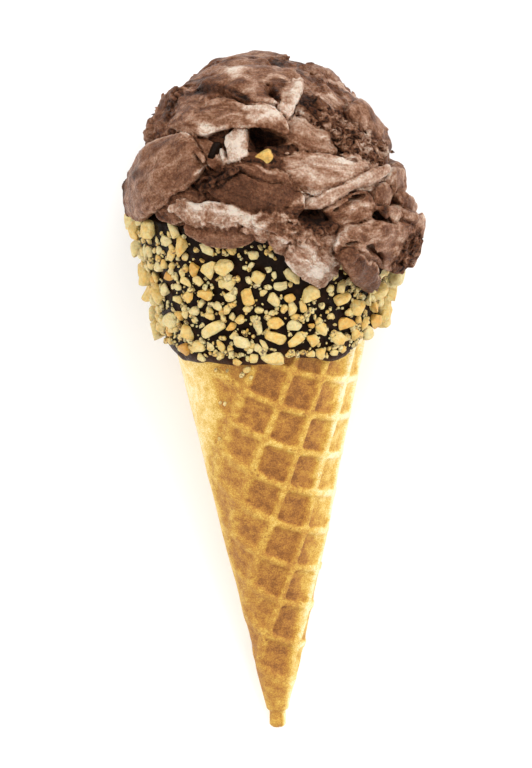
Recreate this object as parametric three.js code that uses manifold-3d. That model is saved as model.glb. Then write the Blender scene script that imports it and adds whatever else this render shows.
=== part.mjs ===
// A filled waffle cone: a rolled wafer whose rim is dipped in dark chocolate and chopped
// peanuts, heaped with chocolate ice cream in ragged folds. A cone cannot stand, so it
// lies on its tip and on the underside of the ice cream, with its tip towards -Y.
// Millimetres, +Z up.
import * as THREE from 'three';
import { mergeVertices } from 'three/addons/utils/BufferGeometryUtils.js';
import Module from 'manifold-3d';

const wasm = await Module();
wasm.setup();

// ---- driving dimensions -------------------------------------------------------------

const GAP = 0.3; // air left between pieces that touch
const LIE = THREE.MathUtils.degToRad(14.5); // the cone's axis above the floor

// The wafer, along the cone's own axis from its tip.
const CONE = {
  height: 156.5,
  tipRadius: 1.93,
  taper: 0.222, // radius gained per millimetre of height
  wall: 3,
  nub: 4.8, // height of the inner roll that shows below the outer layer
  nubRadius: 2.4,
};
// The grid of the waffle iron on the flat sheet before it is rolled: a crossing of two
// ridges, and the steps from there to the next crossings.
const GRID = {
  start: [1.93, 114.3],
  right: [10.15, -4.77],
  down: [-4.17, -10.9],
  ridge: 1.6, // width of a ridge's top
  depth: 1.1,
  plainEdge: 3, // border without pits along the sheet's outer edge, and under the coat
  plainTop: 12,
};
const FLAP = { azimuth: THREE.MathUtils.degToRad(-82), step: 1.6, top: 112 };

// The chocolate coat, from its wavy lower edge up over the rim.
const COAT = { bottom: 116.5, thick: 2, wave: 1.3, rise: 5.5 };
const NUT = { count: 84, small: 2, large: 3.3, sunk: 0.6, room: 1.25, seed: 11 };
// The proudest chunks, at both sides of the coat: azimuth, height along the cone, size.
const SIDE_NUTS = [
  [86, 133, 3.5],
  [92, 127, 3.2],
  [80, 125, 2.8],
  [-92, 152, 3.3],
  [-95, 124, 3],
];

// The heap's core: half lengths of an egg round the heap's middle.
const DOME = { x: 34.5, y: 33, z: 38 };
const HEAP = { x: 0.5, y: 161.3, behindAxis: 1.6 };

// Folds of ice cream, each a slab laid on the core, face by face. A face is looked at
// straight on: x, y are the fold's middle from the heap's middle, long and wide its half
// sizes, turn and bend degrees, taper over 0 where its far end narrows, and lift the
// height of its top over the core.
const FOLDS = {
  // x, y, long, wide, turn, bend, taper, lift
  top: [
    [-13.5, 25.2, 17, 9.4, 20, -25, 0, 3], // crown, a back sheet and a face
    [-5, 26, 15.4, 8.2, 4, -25, 0, 4.8],
    [6.9, 22, 7.2, 3.1, 71, 12, 0.1, 5.3], // its right lip
    [-12.4, 18.1, 19.8, 6.5, -6, -32, 0.3, 6.4], // curl over the dark hollow
    [-30.9, 16.6, 9.2, 5.8, 70, 0, 0, 4.6], // crumbly lump on the left
    [15.5, 23.6, 22.6, 7, -35, -20, 0, 0.2], // slope on the right
    [12.4, 18.2, 6, 4.2, -15, 0, 0, 3.4], // torn rosette
    [28, 8.2, 11, 5.2, -38, 0, 0, 4.8], // torn band
    [11.7, 10.2, 10, 5, -16, 0, 0, 3.8],
    [18, -0.8, 16.4, 7.2, -3, 0, 0.2, 5.2], // broad tan face
    [22.8, -5.4, 14.6, 2.4, 25, 0, 0, 7.2], // twisted ribbon under it
    [40, -4.4, 5.8, 3.2, 102, 0, 0, 8.2], // fingers on the right
    [34.5, -8.2, 3.9, 3, 70, 0, 0, 8.4],
    [43.4, -12.4, 5.4, 2.6, -58, 0, 0, 10],
    [24.5, -12.4, 7.6, 4.6, 10, 0, 0, 8.2], // inner curl
    [35, -23.8, 14.4, 6, 4, 12, 0, 14], // lower right lump
    [44, -20, 6.8, 5.8, 66, 0, 0, 16],
    [28, -30.8, 9.2, 4, -55, 0, 0, 16.2], // plank over it
    [13.8, -26.4, 9.4, 7, -44, 0, 0, 12], // pale drip
    [9.6, -20.8, 11, 5.2, -14, 0, 0, 11.2],
    [40.6, -23.8, 6.6, 4.2, 32, 0, 0, 16],
    [32, -32.4, 5, 3.2, 18, 0, 0, 12],
    [-35, -0.4, 17, 9.8, 34, 0, 0, 9.6], // broad left cheek
    [-28.6, -8.8, 8, 5.2, -14, 0, 0, 8.4],
    [-17.5, 6.4, 6.8, 5, -50, 0, 0, 4.4],
    [-10.2, 6.6, 7, 4.5, 52, 0, 0, 4.9], // marshmallow lump
    [-1.6, -2, 12.4, 4.2, -17, -20, 0, 6.4],
    [-5.8, -7.4, 16.8, 5, -15, 0, -0.4, 9.2], // matt smear
    [-9.6, -14.6, 20.4, 4.9, -8, 8, -0.35, 10.2], // frothy band
    [-13.6, -19.6, 11, 3.4, -9, 20, 0, 10.1], // lower lip
  ],
  end: [
    [0, -1, 17, 10, 12, -20, 0, 0.8],
    [-20, 9, 15, 8, 62, 20, 0, 1.4],
    [21, 7, 14, 8, -62, -20, 0, 1],
    [2, -18, 18, 8, 8, 15, 0, 2.8],
  ],
  left: [
    [-8, -3, 15, 9, 80, 10, 0, 1],
    [3, -15, 14, 7, 78, 0, 0, 6],
    [-17, -21, 12, 7, 20, 0, 0, 2.8],
  ],
  right: [
    [6, -5, 15, 9, 98, 0, 0, 2],
    [-4, -17, 14, 7, 100, 0, 0, 6.4],
    [16, -21, 12, 7, -18, 0, 0, 2.8],
  ],
  under: [
    [0, 8, 20, 12, 10, 0, 0, 5.6],
    [24, 13, 14, 8, -60, -20, 0, 4.8],
    [-24, 13, 14, 8, 58, -20, 0, 4.6],
    [0, -8, 18, 7, 5, 15, 0, 6.4],
  ],
};
// Which way each face looks, and which ways are its right and its up.
const FACES = {
  top: { right: [1, 0, 0], up: [0, 1, 0], out: [0, 0, 1] },
  end: { right: [-1, 0, 0], up: [0, 0, 1], out: [0, 1, 0] },
  left: { right: [0, -1, 0], up: [0, 0, 1], out: [-1, 0, 0] },
  right: { right: [0, 1, 0], up: [0, 0, 1], out: [1, 0, 0] },
  under: { right: [-1, 0, 0], up: [0, 1, 0], out: [0, 0, -1] },
};
// Dark hollows between the folds of the top, each cut down from the height of its mouth.
const HOLLOWS = [
  // x, y, long, wide, turn, mouth, depth
  [-2.4, 9.2, 4.6, 3, -60, 4, 11],
  [1.4, 8.8, 4, 2.6, 10, 4, 9],
  [13.1, -13.9, 4.8, 2.1, 8, 8, 11],
  [32.5, -14, 3.4, 1.8, 65, 9, 9],
];
const FOLD_EDGE = 1.1; // how far a fold's rim lies below its top face
const FOLD_ROOT = 9; // how deep a fold is rooted below its rim
const FOLD_TIP = 0.12; // rise of a fold's top towards its free edge, per mm across

// The cone's tip touches the floor when its frame is raised by this much.
const tipCorner = { radius: CONE.nubRadius * 0.75, s: 0 };
const tipSide = { radius: CONE.nubRadius, s: 0.8 };
const below = (p) => p.radius * Math.cos(LIE) - p.s * Math.sin(LIE);
const CONE_RISE = Math.max(below(tipCorner), below(tipSide));
const CONE_FRAME = new THREE.Matrix4().makeRotationX(LIE).setPosition(0, 0, CONE_RISE);
const HEAP_RISE = CONE_RISE + HEAP.y * Math.tan(LIE) - HEAP.behindAxis;

// ---- shared tools -------------------------------------------------------------------

const degrees = THREE.MathUtils.degToRad;

function random(seed) {
  let state = seed;
  return () => {
    state = (state * 16807) % 2147483647;
    return state / 2147483647;
  };
}

function signedVolume(positions, index) {
  let total = 0;
  const a = new THREE.Vector3();
  const b = new THREE.Vector3();
  const c = new THREE.Vector3();
  for (let i = 0; i < index.length; i += 3) {
    a.fromArray(positions, 3 * index[i]);
    b.fromArray(positions, 3 * index[i + 1]);
    c.fromArray(positions, 3 * index[i + 2]);
    total += a.dot(b.cross(c)) / 6;
  }
  return total;
}

// A closed body from a three.js geometry, with its faces pointing out.
function toSolid(geometry) {
  const bare = geometry.clone();
  bare.deleteAttribute('normal');
  bare.deleteAttribute('uv');
  const merged = mergeVertices(bare, 1e-4);
  const index = [];
  const corners = merged.index.array;
  for (let i = 0; i < corners.length; i += 3) {
    const [a, b, c] = [corners[i], corners[i + 1], corners[i + 2]];
    if (a !== b && b !== c && c !== a) index.push(a, b, c);
  }
  const positions = merged.attributes.position.array;
  if (signedVolume(positions, index) < 0) index.reverse();
  return new wasm.Manifold(new wasm.Mesh({
    numProp: 3,
    vertProperties: new Float32Array(positions),
    triVerts: new Uint32Array(index),
  }));
}

function toGeometry(solid) {
  const mesh = solid.getMesh();
  const geometry = new THREE.BufferGeometry();
  geometry.setAttribute('position', new THREE.BufferAttribute(mesh.vertProperties, 3));
  geometry.setIndex(new THREE.BufferAttribute(mesh.triVerts, 1));
  geometry.computeVertexNormals();
  return geometry;
}

// The largest body alone: loose scraps go, and a sealed hollow is filled.
function mainBody(solid) {
  const bodies = solid.decompose();
  bodies.sort((a, b) => b.volume() - a.volume());
  return bodies[0];
}

// ---- waffle cone --------------------------------------------------------------------

function coneRadius(s) {
  return CONE.tipRadius + CONE.taper * s;
}

// 1 on the floor of a pit, 0 on a ridge, on the flat sheet that the cone is rolled from.
function pit(s, azimuth) {
  const apex = -CONE.tipRadius / CONE.taper;
  const half = Math.atan(CONE.taper);
  const reach = (s - apex) / Math.cos(half);
  const flat = azimuth * Math.sin(half);
  const fromFlap = (azimuth - FLAP.azimuth) * Math.sin(half) * reach;
  const plain = s > 90 ? GRID.plainTop : GRID.plainEdge;
  if (fromFlap < plain) return 0;
  const x = reach * Math.sin(flat) - GRID.start[0];
  const y = reach * Math.cos(flat) - GRID.start[1];
  const [right, down] = [GRID.right, GRID.down];
  const cell = right[0] * down[1] - right[1] * down[0];
  const i = (x * down[1] - y * down[0]) / cell;
  const j = (y * right[0] - x * right[1]) / cell;
  const edge = GRID.ridge / Math.hypot(...right) / 2;
  const inCell = (v) => Math.min(v - Math.floor(v), Math.ceil(v) - v) - edge;
  const wall = 0.26;
  return THREE.MathUtils.clamp(Math.min(inCell(i), inCell(j)) / wall, 0, 1);
}

// The rolled sheet is a spiral that sinks by a step before it meets its own outer edge.
function spiral(s, turn) {
  const grows = THREE.MathUtils.clamp((FLAP.top - s) / 12, 0, 1);
  const ends = THREE.MathUtils.clamp((s - CONE.nub) / 8, 0, 1);
  return -FLAP.step * grows * ends * turn ** 3;
}

function waffleCone() {
  const columns = 40;
  const rows = 27;
  const rowTop = COAT.bottom - 3;
  const outer = [];
  for (let i = 0; i <= rows; i++) outer.push(CONE.nub + 1 + (rowTop - CONE.nub - 1) * (i / rows));
  const innerTip = CONE.nub + 5;
  const profile = [
    new THREE.Vector2(0, 0),
    new THREE.Vector2(CONE.nubRadius * 0.75, 0),
    new THREE.Vector2(CONE.nubRadius, 0.8),
    new THREE.Vector2(CONE.nubRadius, CONE.nub),
    ...outer.map((s) => new THREE.Vector2(coneRadius(s), s)),
    new THREE.Vector2(coneRadius(CONE.height), CONE.height),
    new THREE.Vector2(coneRadius(CONE.height) - CONE.wall, CONE.height),
    new THREE.Vector2(coneRadius(innerTip) - CONE.wall, innerTip),
    new THREE.Vector2(0, innerTip),
  ];
  const firstPitRow = 4;
  const lastPitRow = firstPitRow + rows;
  const geometry = new THREE.LatheGeometry(profile, columns);
  const place = geometry.attributes.position;
  // Columns 0 and 1 lie close together, on both sides of the flap's edge.
  const edgeWidth = degrees(2);
  for (let k = 0; k < place.count; k++) {
    const column = Math.floor(k / profile.length) % columns;
    const row = k % profile.length;
    const turn = column === 0 ? 1 : (column - 1) / (columns - 1);
    const azimuth = FLAP.azimuth + turn * (2 * Math.PI - edgeWidth);
    const { x: radius, y: s } = profile[row];
    let r = radius;
    if (row >= firstPitRow && row <= lastPitRow) {
      const fade = THREE.MathUtils.clamp((s - 22) / 6, 0, 1);
      r += spiral(s, turn) - GRID.depth * fade * pit(s, azimuth);
    }
    place.setXYZ(k, r * Math.sin(azimuth), s, r * Math.cos(azimuth));
  }
  return toSolid(geometry);
}

// ---- chocolate coat and chopped peanuts ----------------------------------------------

function coatEdge(azimuth) {
  const wave = COAT.wave * (Math.sin(3 * azimuth + 1) + 0.6 * Math.sin(7 * azimuth));
  return wave + COAT.rise * Math.exp(-((Math.abs(azimuth - 1.6) / 0.62) ** 4));
}

function coatRing() {
  // The inner side starts inside the wafer's room, which then cuts it clean.
  const inside = (s) => coneRadius(s) + GAP - 0.6;
  const outside = (s) => coneRadius(s) + GAP + COAT.thick;
  const lower = COAT.bottom + 2.5;
  const rim = CONE.height + GAP;
  const innerRim = coneRadius(CONE.height) - CONE.wall + 0.4;
  const profile = [
    new THREE.Vector2(inside(COAT.bottom), COAT.bottom),
    new THREE.Vector2(outside(COAT.bottom) - 0.5, COAT.bottom),
    new THREE.Vector2(outside(lower), lower),
    new THREE.Vector2(outside(rim), rim),
    new THREE.Vector2(outside(rim) - 0.6, rim + COAT.thick),
    new THREE.Vector2(innerRim, rim + COAT.thick),
    new THREE.Vector2(innerRim, rim - 1),
    new THREE.Vector2(inside(rim - 1), rim - 1),
    new THREE.Vector2(inside(COAT.bottom), COAT.bottom),
  ];
  const columns = 36;
  const geometry = new THREE.LatheGeometry(profile, columns);
  const place = geometry.attributes.position;
  for (let k = 0; k < place.count; k++) {
    const row = k % profile.length;
    if (row > 2 && row < profile.length - 1) continue;
    const azimuth = Math.atan2(place.getX(k), place.getZ(k));
    const s = profile[row].y + coatEdge(azimuth);
    const radius = profile[row].x + CONE.taper * (s - profile[row].y);
    place.setXYZ(k, radius * Math.sin(azimuth), s, radius * Math.cos(azimuth));
  }
  return toSolid(geometry);
}

// One chopped piece: an angular lump, flatter than it is long.
function chunk(size, draw) {
  const geometry = new THREE.IcosahedronGeometry(1, 0);
  geometry.deleteAttribute('normal');
  geometry.deleteAttribute('uv');
  const merged = mergeVertices(geometry, 1e-4);
  const place = merged.attributes.position;
  for (let k = 0; k < place.count; k++) {
    const stretch = 0.78 + 0.4 * draw();
    place.setXYZ(k, place.getX(k) * stretch, place.getY(k) * stretch, place.getZ(k) * stretch);
  }
  merged.scale(size * (1 + 0.35 * draw()), size * 0.72, size * 0.85);
  merged.rotateY(2 * Math.PI * draw());
  return merged;
}

// Steps of an even spread over a surface, as shares of its round and its height.
const EVEN = { round: 0.7548777, up: 0.5698403 };

// The proudest chunks, then a spread over the whole coat, the largest ones first.
function nutPlaces(draw) {
  const places = SIDE_NUTS.map(([azimuth, s, size]) => [degrees(azimuth), s, size]);
  const margin = 4;
  for (let i = 0; i < NUT.count; i++) {
    const share = (i + 0.5) / NUT.count;
    const azimuth = 2 * Math.PI * EVEN.round * i + 0.2 * (draw() - 0.5);
    const low = COAT.bottom + Math.max(coatEdge(azimuth % (2 * Math.PI)), 0) + margin;
    const s = THREE.MathUtils.lerp(low, CONE.height - margin, (EVEN.up * i) % 1);
    const size = THREE.MathUtils.lerp(NUT.large, NUT.small, Math.sqrt(share));
    places.push([azimuth, s, size * (0.9 + 0.2 * draw())]);
  }
  return places;
}

function nutOnCoat([azimuth, s, size], draw) {
  const radius = coneRadius(s) + GAP + COAT.thick + size * NUT.sunk;
  const lump = chunk(size, draw);
  lump.rotateX(Math.PI / 2);
  lump.rotateY(azimuth);
  lump.translate(radius * Math.sin(azimuth), s, radius * Math.cos(azimuth));
  return lump;
}

// ---- ice cream ----------------------------------------------------------------------

// The way out from the heap's middle to a place on a face, in shares of the core's
// half lengths, and the place at a height over the core along that way.
function heapWay(face, x, y, lift) {
  const along = (axis) => Math.abs(DOME.x * axis[0] + DOME.y * axis[1] + DOME.z * axis[2]);
  const u = x / (along(face.right) + lift);
  const v = y / (along(face.up) + lift);
  const reach = Math.hypot(u, v);
  // Near the limb a fold keeps its own length, and is not drawn out round the side.
  const steepest = 2;
  const limb = Math.sqrt(1 - 1 / steepest ** 2);
  const polar = Math.asin(Math.min(reach, limb)) + steepest * Math.max(reach - limb, 0);
  const flat = reach > 0 ? Math.sin(polar) / reach : 1;
  const parts = [u * flat, v * flat, Math.cos(polar)];
  const axes = [face.right, face.up, face.out];
  return [0, 1, 2].map((k) => parts.reduce((sum, part, n) => sum + part * axes[n][k], 0));
}

function heapPlace(way, height) {
  return [
    HEAP.x + (DOME.x + height) * way[0],
    HEAP.y + (DOME.y + height) * way[1],
    HEAP_RISE + (DOME.z + height) * way[2],
  ];
}

// A place on a fold, from its middle, with the fold's bend and turn applied.
function foldPlace(fold, along, across) {
  let [u, v] = [along, across];
  if (fold.bend !== 0) {
    const radius = fold.long / degrees(fold.bend);
    const angle = along / radius;
    u = (radius - across) * Math.sin(angle);
    v = radius - (radius - across) * Math.cos(angle);
  }
  const turn = degrees(fold.turn);
  return [
    fold.x + u * Math.cos(turn) - v * Math.sin(turn),
    fold.y + u * Math.sin(turn) + v * Math.cos(turn),
  ];
}

// A fold is a sphere pressed flat into a slab: its upper half is the top face with a
// rounded rim, its lower half a root that reaches into the core.
function foldSolid(fold, face, draw) {
  const geometry = new THREE.SphereGeometry(1, fold.long > 9 ? 12 : 9, 4);
  const place = geometry.attributes.position;
  const [sway, lean] = [2 * Math.PI * draw(), 2 * Math.PI * draw()];
  const blunt = (v) => Math.sign(v) * Math.abs(v) ** 0.75;
  for (let k = 0; k < place.count; k++) {
    const up = place.getY(k);
    const angle = Math.atan2(-place.getZ(k), place.getX(k));
    const ragged = 1 + 0.06 * Math.sin(3 * angle + sway) + 0.04 * Math.sin(5 * angle + lean);
    const out = ragged * Math.hypot(place.getX(k), place.getZ(k)) ** 0.6;
    const narrow = 1 - fold.taper * Math.cos(angle);
    const along = fold.long * out * blunt(Math.cos(angle));
    const across = fold.wide * out * blunt(Math.sin(angle)) * narrow;
    const rise = up > 0 ? FOLD_EDGE * (up * (2 - up) - 1) : -FOLD_EDGE + FOLD_ROOT * up;
    const way = heapWay(face, ...foldPlace(fold, along, across), fold.lift);
    place.setXYZ(k, ...heapPlace(way, fold.lift + rise - FOLD_TIP * across));
  }
  return toSolid(geometry);
}

function hollowSolid(hollow) {
  const geometry = new THREE.SphereGeometry(1, 12, 6);
  const place = geometry.attributes.position;
  for (let k = 0; k < place.count; k++) {
    const up = place.getY(k);
    const along = hollow.long * place.getX(k);
    const across = -hollow.wide * place.getZ(k);
    const way = heapWay(FACES.top, ...foldPlace(hollow, along, across), hollow.mouth);
    place.setXYZ(k, ...heapPlace(way, hollow.mouth + hollow.deep * up));
  }
  return toSolid(geometry);
}

// The wafer and the coat with the air round them, as one cup that the ice cream clears.
function cupSolid() {
  const outside = (s) => coneRadius(s) + 2 * GAP + COAT.thick;
  const top = CONE.height + 2 * GAP + COAT.thick;
  const innerTip = CONE.nub + 5 + GAP;
  const inside = (s) => coneRadius(s) - CONE.wall - GAP;
  const profile = [
    new THREE.Vector2(0, -10),
    new THREE.Vector2(outside(0), -10),
    new THREE.Vector2(outside(top), top),
    new THREE.Vector2(inside(top), top),
    new THREE.Vector2(inside(innerTip + 4), innerTip + 4),
    new THREE.Vector2(0, innerTip + 4),
  ];
  return new THREE.LatheGeometry(profile, 36);
}

// What fills the cone, a little wider than the cup's hollow, which then cuts it.
function plugSolid() {
  const profile = [
    new THREE.Vector2(0, 2),
    new THREE.Vector2(coneRadius(2), 2),
    new THREE.Vector2(coneRadius(CONE.height) - 0.6, CONE.height),
    new THREE.Vector2(coneRadius(CONE.height) - 1, CONE.height + 9),
    new THREE.Vector2(0, CONE.height + 9),
  ];
  return new THREE.LatheGeometry(profile, 36);
}

function iceCream() {
  const core = new THREE.SphereGeometry(1, 18, 10);
  core.scale(DOME.x, DOME.y, DOME.z);
  core.translate(HEAP.x, HEAP.y, HEAP_RISE);
  let heap = toSolid(core).add(toSolid(plugSolid().applyMatrix4(CONE_FRAME)));
  const draw = random(5);
  for (const [name, rows] of Object.entries(FOLDS)) {
    for (const [x, y, long, wide, turn, bend, taper, lift] of rows) {
      const fold = { x, y, long, wide, turn, bend, taper, lift };
      heap = heap.add(foldSolid(fold, FACES[name], draw));
    }
  }
  for (const [x, y, long, wide, turn, mouth, deep] of HOLLOWS) {
    heap = heap.subtract(hollowSolid({ x, y, long, wide, turn, bend: 0, mouth, deep }));
  }
  heap = heap.subtract(toSolid(cupSolid().applyMatrix4(CONE_FRAME)));
  const below = new THREE.BoxGeometry(400, 500, 60);
  below.translate(0, 100, -30);
  return mainBody(heap.subtract(toSolid(below)));
}

// ---- the whole -----------------------------------------------------------------------

const iceCreamSolid = iceCream();

function chocolateCoat() {
  let coat = coatRing();
  const draw = random(NUT.seed);
  const floorClear = 0.6;
  const heapInConeFrame = iceCreamSolid.transform(CONE_FRAME.clone().invert().toArray());
  for (const place of nutPlaces(draw)) {
    const lump = nutOnCoat(place, draw);
    const onFloor = lump.clone().applyMatrix4(CONE_FRAME);
    onFloor.computeBoundingBox();
    if (onFloor.boundingBox.min.z < floorClear) continue;
    const middle = new THREE.Vector3();
    lump.computeBoundingBox();
    lump.boundingBox.getCenter(middle);
    const room = lump.clone();
    room.translate(-middle.x, -middle.y, -middle.z);
    room.scale(NUT.room, NUT.room, NUT.room);
    room.translate(middle.x, middle.y, middle.z);
    if (!toSolid(room).intersect(heapInConeFrame).isEmpty()) continue;
    coat = coat.add(toSolid(lump));
  }
  return mainBody(coat.subtract(toSolid(waferRoom())));
}

// The wafer under the coat and its rim, with the gap, which coat and chunks do not enter.
function waferRoom() {
  const rim = CONE.height + GAP;
  const profile = [
    new THREE.Vector2(0, 90),
    new THREE.Vector2(coneRadius(90) + GAP, 90),
    new THREE.Vector2(coneRadius(rim) + GAP, rim),
    new THREE.Vector2(0, rim),
  ];
  return new THREE.LatheGeometry(profile, 60);
}

const wafer = new THREE.Mesh(
  toGeometry(waffleCone()),
  new THREE.MeshStandardMaterial({ color: 0xd3a045, roughness: 0.75, metalness: 0 }),
);
wafer.name = 'waffle_cone';

const coat = new THREE.Mesh(
  toGeometry(chocolateCoat()),
  new THREE.MeshStandardMaterial({ color: 0x1b0f05, roughness: 0.35, metalness: 0 }),
);
coat.name = 'nut_coat';

const heap = new THREE.Mesh(
  toGeometry(iceCreamSolid),
  new THREE.MeshStandardMaterial({ color: 0x8c6553, roughness: 0.6, metalness: 0 }),
);
heap.name = 'ice_cream';

const cone = new THREE.Group();
cone.applyMatrix4(CONE_FRAME);
cone.add(wafer, coat);

const group = new THREE.Group();
group.add(cone, heap);

// The origin is the middle of the part's underside.
group.updateMatrixWorld(true);
const bounds = new THREE.Box3().setFromObject(group, true);
const centre = bounds.getCenter(new THREE.Vector3());
group.position.set(-centre.x, -centre.y, -bounds.min.z);

export default group;
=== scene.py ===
"""A waffle cone of chocolate ice cream with its rim dipped in chocolate and chopped peanuts.

Lengths below are in millimetres on a sheet laid on the floor: its origin is under the tip
of the wafer, x runs to the right, y towards the ice cream and z up.
"""
import itertools
import math
from collections import namedtuple

import bmesh
import bpy
import numpy as np
import openvdb
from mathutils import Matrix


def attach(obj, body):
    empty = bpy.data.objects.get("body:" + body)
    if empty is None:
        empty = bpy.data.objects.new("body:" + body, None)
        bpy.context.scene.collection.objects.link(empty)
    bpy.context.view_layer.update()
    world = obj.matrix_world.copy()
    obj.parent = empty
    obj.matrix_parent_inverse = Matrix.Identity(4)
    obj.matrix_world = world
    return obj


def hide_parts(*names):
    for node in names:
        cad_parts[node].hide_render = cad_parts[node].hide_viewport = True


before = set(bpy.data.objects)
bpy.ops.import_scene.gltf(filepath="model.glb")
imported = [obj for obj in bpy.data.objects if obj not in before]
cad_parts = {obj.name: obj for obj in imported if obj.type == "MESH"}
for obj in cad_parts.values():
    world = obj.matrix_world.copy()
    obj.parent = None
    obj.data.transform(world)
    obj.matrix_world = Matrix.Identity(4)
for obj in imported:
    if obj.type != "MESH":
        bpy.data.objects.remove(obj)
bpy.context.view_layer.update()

# ---- the waffle cone ----------------------------------------------------------------
# A thin sheet of sweet batter, baked in a waffle iron and rolled round a cone while it is
# hot. Its outer edge runs down the left side, and its tip is a tight roll of the sheet.
LIE = math.radians(14.5)  # the cone's axis above the floor
TIP_PLACE = (-2.24, -97.32)  # where the sheet's origin lies in the frame
CONE_HEIGHT = 156.5
TIP_RADIUS = 1.93
TAPER = 0.222
WALL = 3.0
NUB_RADIUS, NUB_HEIGHT = 2.4, 4.8
FLAP_AZIMUTH = math.radians(-82)
FLAP_STEP, FLAP_TOP = 1.6, 112.0
GRID_START = (1.93, 114.3)  # a crossing of the waffle iron's ridges on the flat sheet
GRID_RIGHT, GRID_DOWN = (10.15, -4.77), (-4.17, -10.9)  # to the next crossings
RIDGE = 1.6
PIT_DEPTH = 1.2
PIT_CORNER = 1.3
FLAP_EDGE = math.radians(0.8)  # how steeply the outer edge steps down
# How far the tip's middle lies above the floor, so that the roll at the tip rests on it.
TIP_RISE = max(
    r * math.cos(LIE) - s * math.sin(LIE) for r, s in ((0.75 * NUB_RADIUS, 0), (NUB_RADIUS, 0.8))
)


def wobble(points, size, seed):
    """Soft random values between -1 and 1 that change over a length of size."""
    side = 32
    table = np.random.default_rng(seed).uniform(-1, 1, side**3).astype(np.float32)
    low, high, part = [], [], []
    for k in range(3):
        value = np.asarray(points[..., k], dtype=np.float32) / np.float32(size)
        cell = np.floor(value)
        share = value - cell
        cell = cell.astype(np.int32)
        low.append((cell % side) * side**k)
        high.append(((cell + 1) % side) * side**k)
        part.append(share * share * (3 - 2 * share))
    total = 0
    for corner in itertools.product((0, 1), repeat=3):
        x, y, z = (high[k] if corner[k] else low[k] for k in range(3))
        u, v, w = (part[k] if corner[k] else 1 - part[k] for k in range(3))
        total = total + u * v * w * table[x + y + z]
    return total


def ease(value, low, high):
    """0 below low, 1 above high, and a soft S between them."""
    share = np.clip((value - low) / (high - low), 0, 1)
    return share * share * (3 - 2 * share)


def cone_radius(s):
    return TIP_RADIUS + TAPER * s


def off_cone(radius, azimuth, s):
    """From a place round the cone's own axis to the sheet."""
    x = radius * np.sin(azimuth)
    out = radius * np.cos(azimuth)
    y = s * math.cos(LIE) - out * math.sin(LIE)
    z = s * math.sin(LIE) + out * math.cos(LIE) + TIP_RISE
    return np.stack([x, y, z], axis=-1)


def round_cone(points):
    """The other way round: radius, azimuth and height along the cone's own axis."""
    x, y, z = np.moveaxis(points, -1, 0)
    z = z - TIP_RISE
    s = y * math.cos(LIE) + z * math.sin(LIE)
    out = z * math.cos(LIE) - y * math.sin(LIE)
    return np.hypot(x, out), np.arctan2(x, out), s


def put(name, data):
    thing = bpy.data.objects.new(name, data)
    bpy.context.collection.objects.link(thing)
    return thing


def make_piece(name, points, faces, marks, material, slot, node):
    """A piece from points on the sheet, with one number or vector a point for each mark."""
    points = np.asarray(points, dtype=np.float64)
    mesh = bpy.data.meshes.new(name)
    mesh.vertices.add(len(points))
    mesh.vertices.foreach_set("co", ((points + (*TIP_PLACE, 0)) / 1000).ravel())
    corners = np.concatenate([np.asarray(f, dtype=np.int32).ravel() for f in faces])
    sides = np.concatenate([np.full(len(f), np.shape(f)[1], dtype=np.int32) for f in faces])
    mesh.loops.add(len(corners))
    mesh.loops.foreach_set("vertex_index", corners)
    mesh.polygons.add(len(sides))
    mesh.polygons.foreach_set("loop_start", np.concatenate([[0], np.cumsum(sides)[:-1]]))
    mesh.polygons.foreach_set("use_smooth", np.ones(len(sides), dtype=bool))
    mesh.update(calc_edges=True)
    for mark, values in marks.items():
        values = np.asarray(values, dtype=np.float64)
        kind, field = ("FLOAT", "value") if values.ndim == 1 else ("FLOAT_VECTOR", "vector")
        mesh.attributes.new(mark, kind, "POINT").data.foreach_set(field, values.ravel())
    mesh.materials.append(material)
    piece = put(name, mesh)
    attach(piece, "root")
    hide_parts(node)


def rings(row_count, column_count):
    """Quads between rows of a closed ring of columns, with faces out for rising rows."""
    row, column = np.mgrid[0 : row_count - 1, 0:column_count]
    after = (column + 1) % column_count
    a, b = row * column_count + column, row * column_count + after
    c, d = (row + 1) * column_count + after, (row + 1) * column_count + column
    return np.stack([a, b, c, d], axis=-1).reshape(-1, 4)


def waffle_relief(s, azimuth):
    """The pits' depth, and how far into a pit a place lies, on the flat sheet."""
    half = math.atan(TAPER)
    reach = (s + TIP_RADIUS / TAPER) / math.cos(half)
    flat = azimuth * math.sin(half)
    across, up = reach * np.sin(flat), reach * np.cos(flat)
    spot = np.stack([across, up, np.zeros_like(up)], axis=-1)
    across = across - GRID_START[0] + 0.4 * wobble(spot, 17, 1)
    up = up - GRID_START[1] + 0.4 * wobble(spot, 17, 2)
    (right_x, right_y), (down_x, down_y) = GRID_RIGHT, GRID_DOWN
    size = right_x * down_y - right_y * down_x
    i = (across * down_y - up * down_x) / size
    j = (up * right_x - across * right_y) / size
    pitch = math.hypot(*GRID_RIGHT)
    walls = [pitch * np.abs(v - np.round(v)) - RIDGE / 2 for v in (i, j)]
    inside = PIT_CORNER - np.hypot(*[np.maximum(PIT_CORNER - wall, 0) for wall in walls])
    from_flap = (azimuth - FLAP_AZIMUTH) * math.sin(half) * reach
    plain_width = 3.0 + 9 * ease(s, 78, 94) + 6 * ease(s, 90, 101) + 1.2 * wobble(spot, 9, 3)
    plain = (1 - ease(from_flap, plain_width - 3, plain_width + 3)) * ease(s, 14, 60)
    fade = ease(s, 12, 22) * (1 - plain)
    soft = 1 - ease(azimuth, -0.85, 0.1)
    pit = ease(inside, -0.2 - 0.7 * soft, 0.65 + 1.7 * soft) * (1 - 0.55 * soft)
    centre = np.minimum(*walls)
    return pit * fade, ease(centre, 0.4, 2.4) * fade, plain, spot, (i, j)


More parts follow.
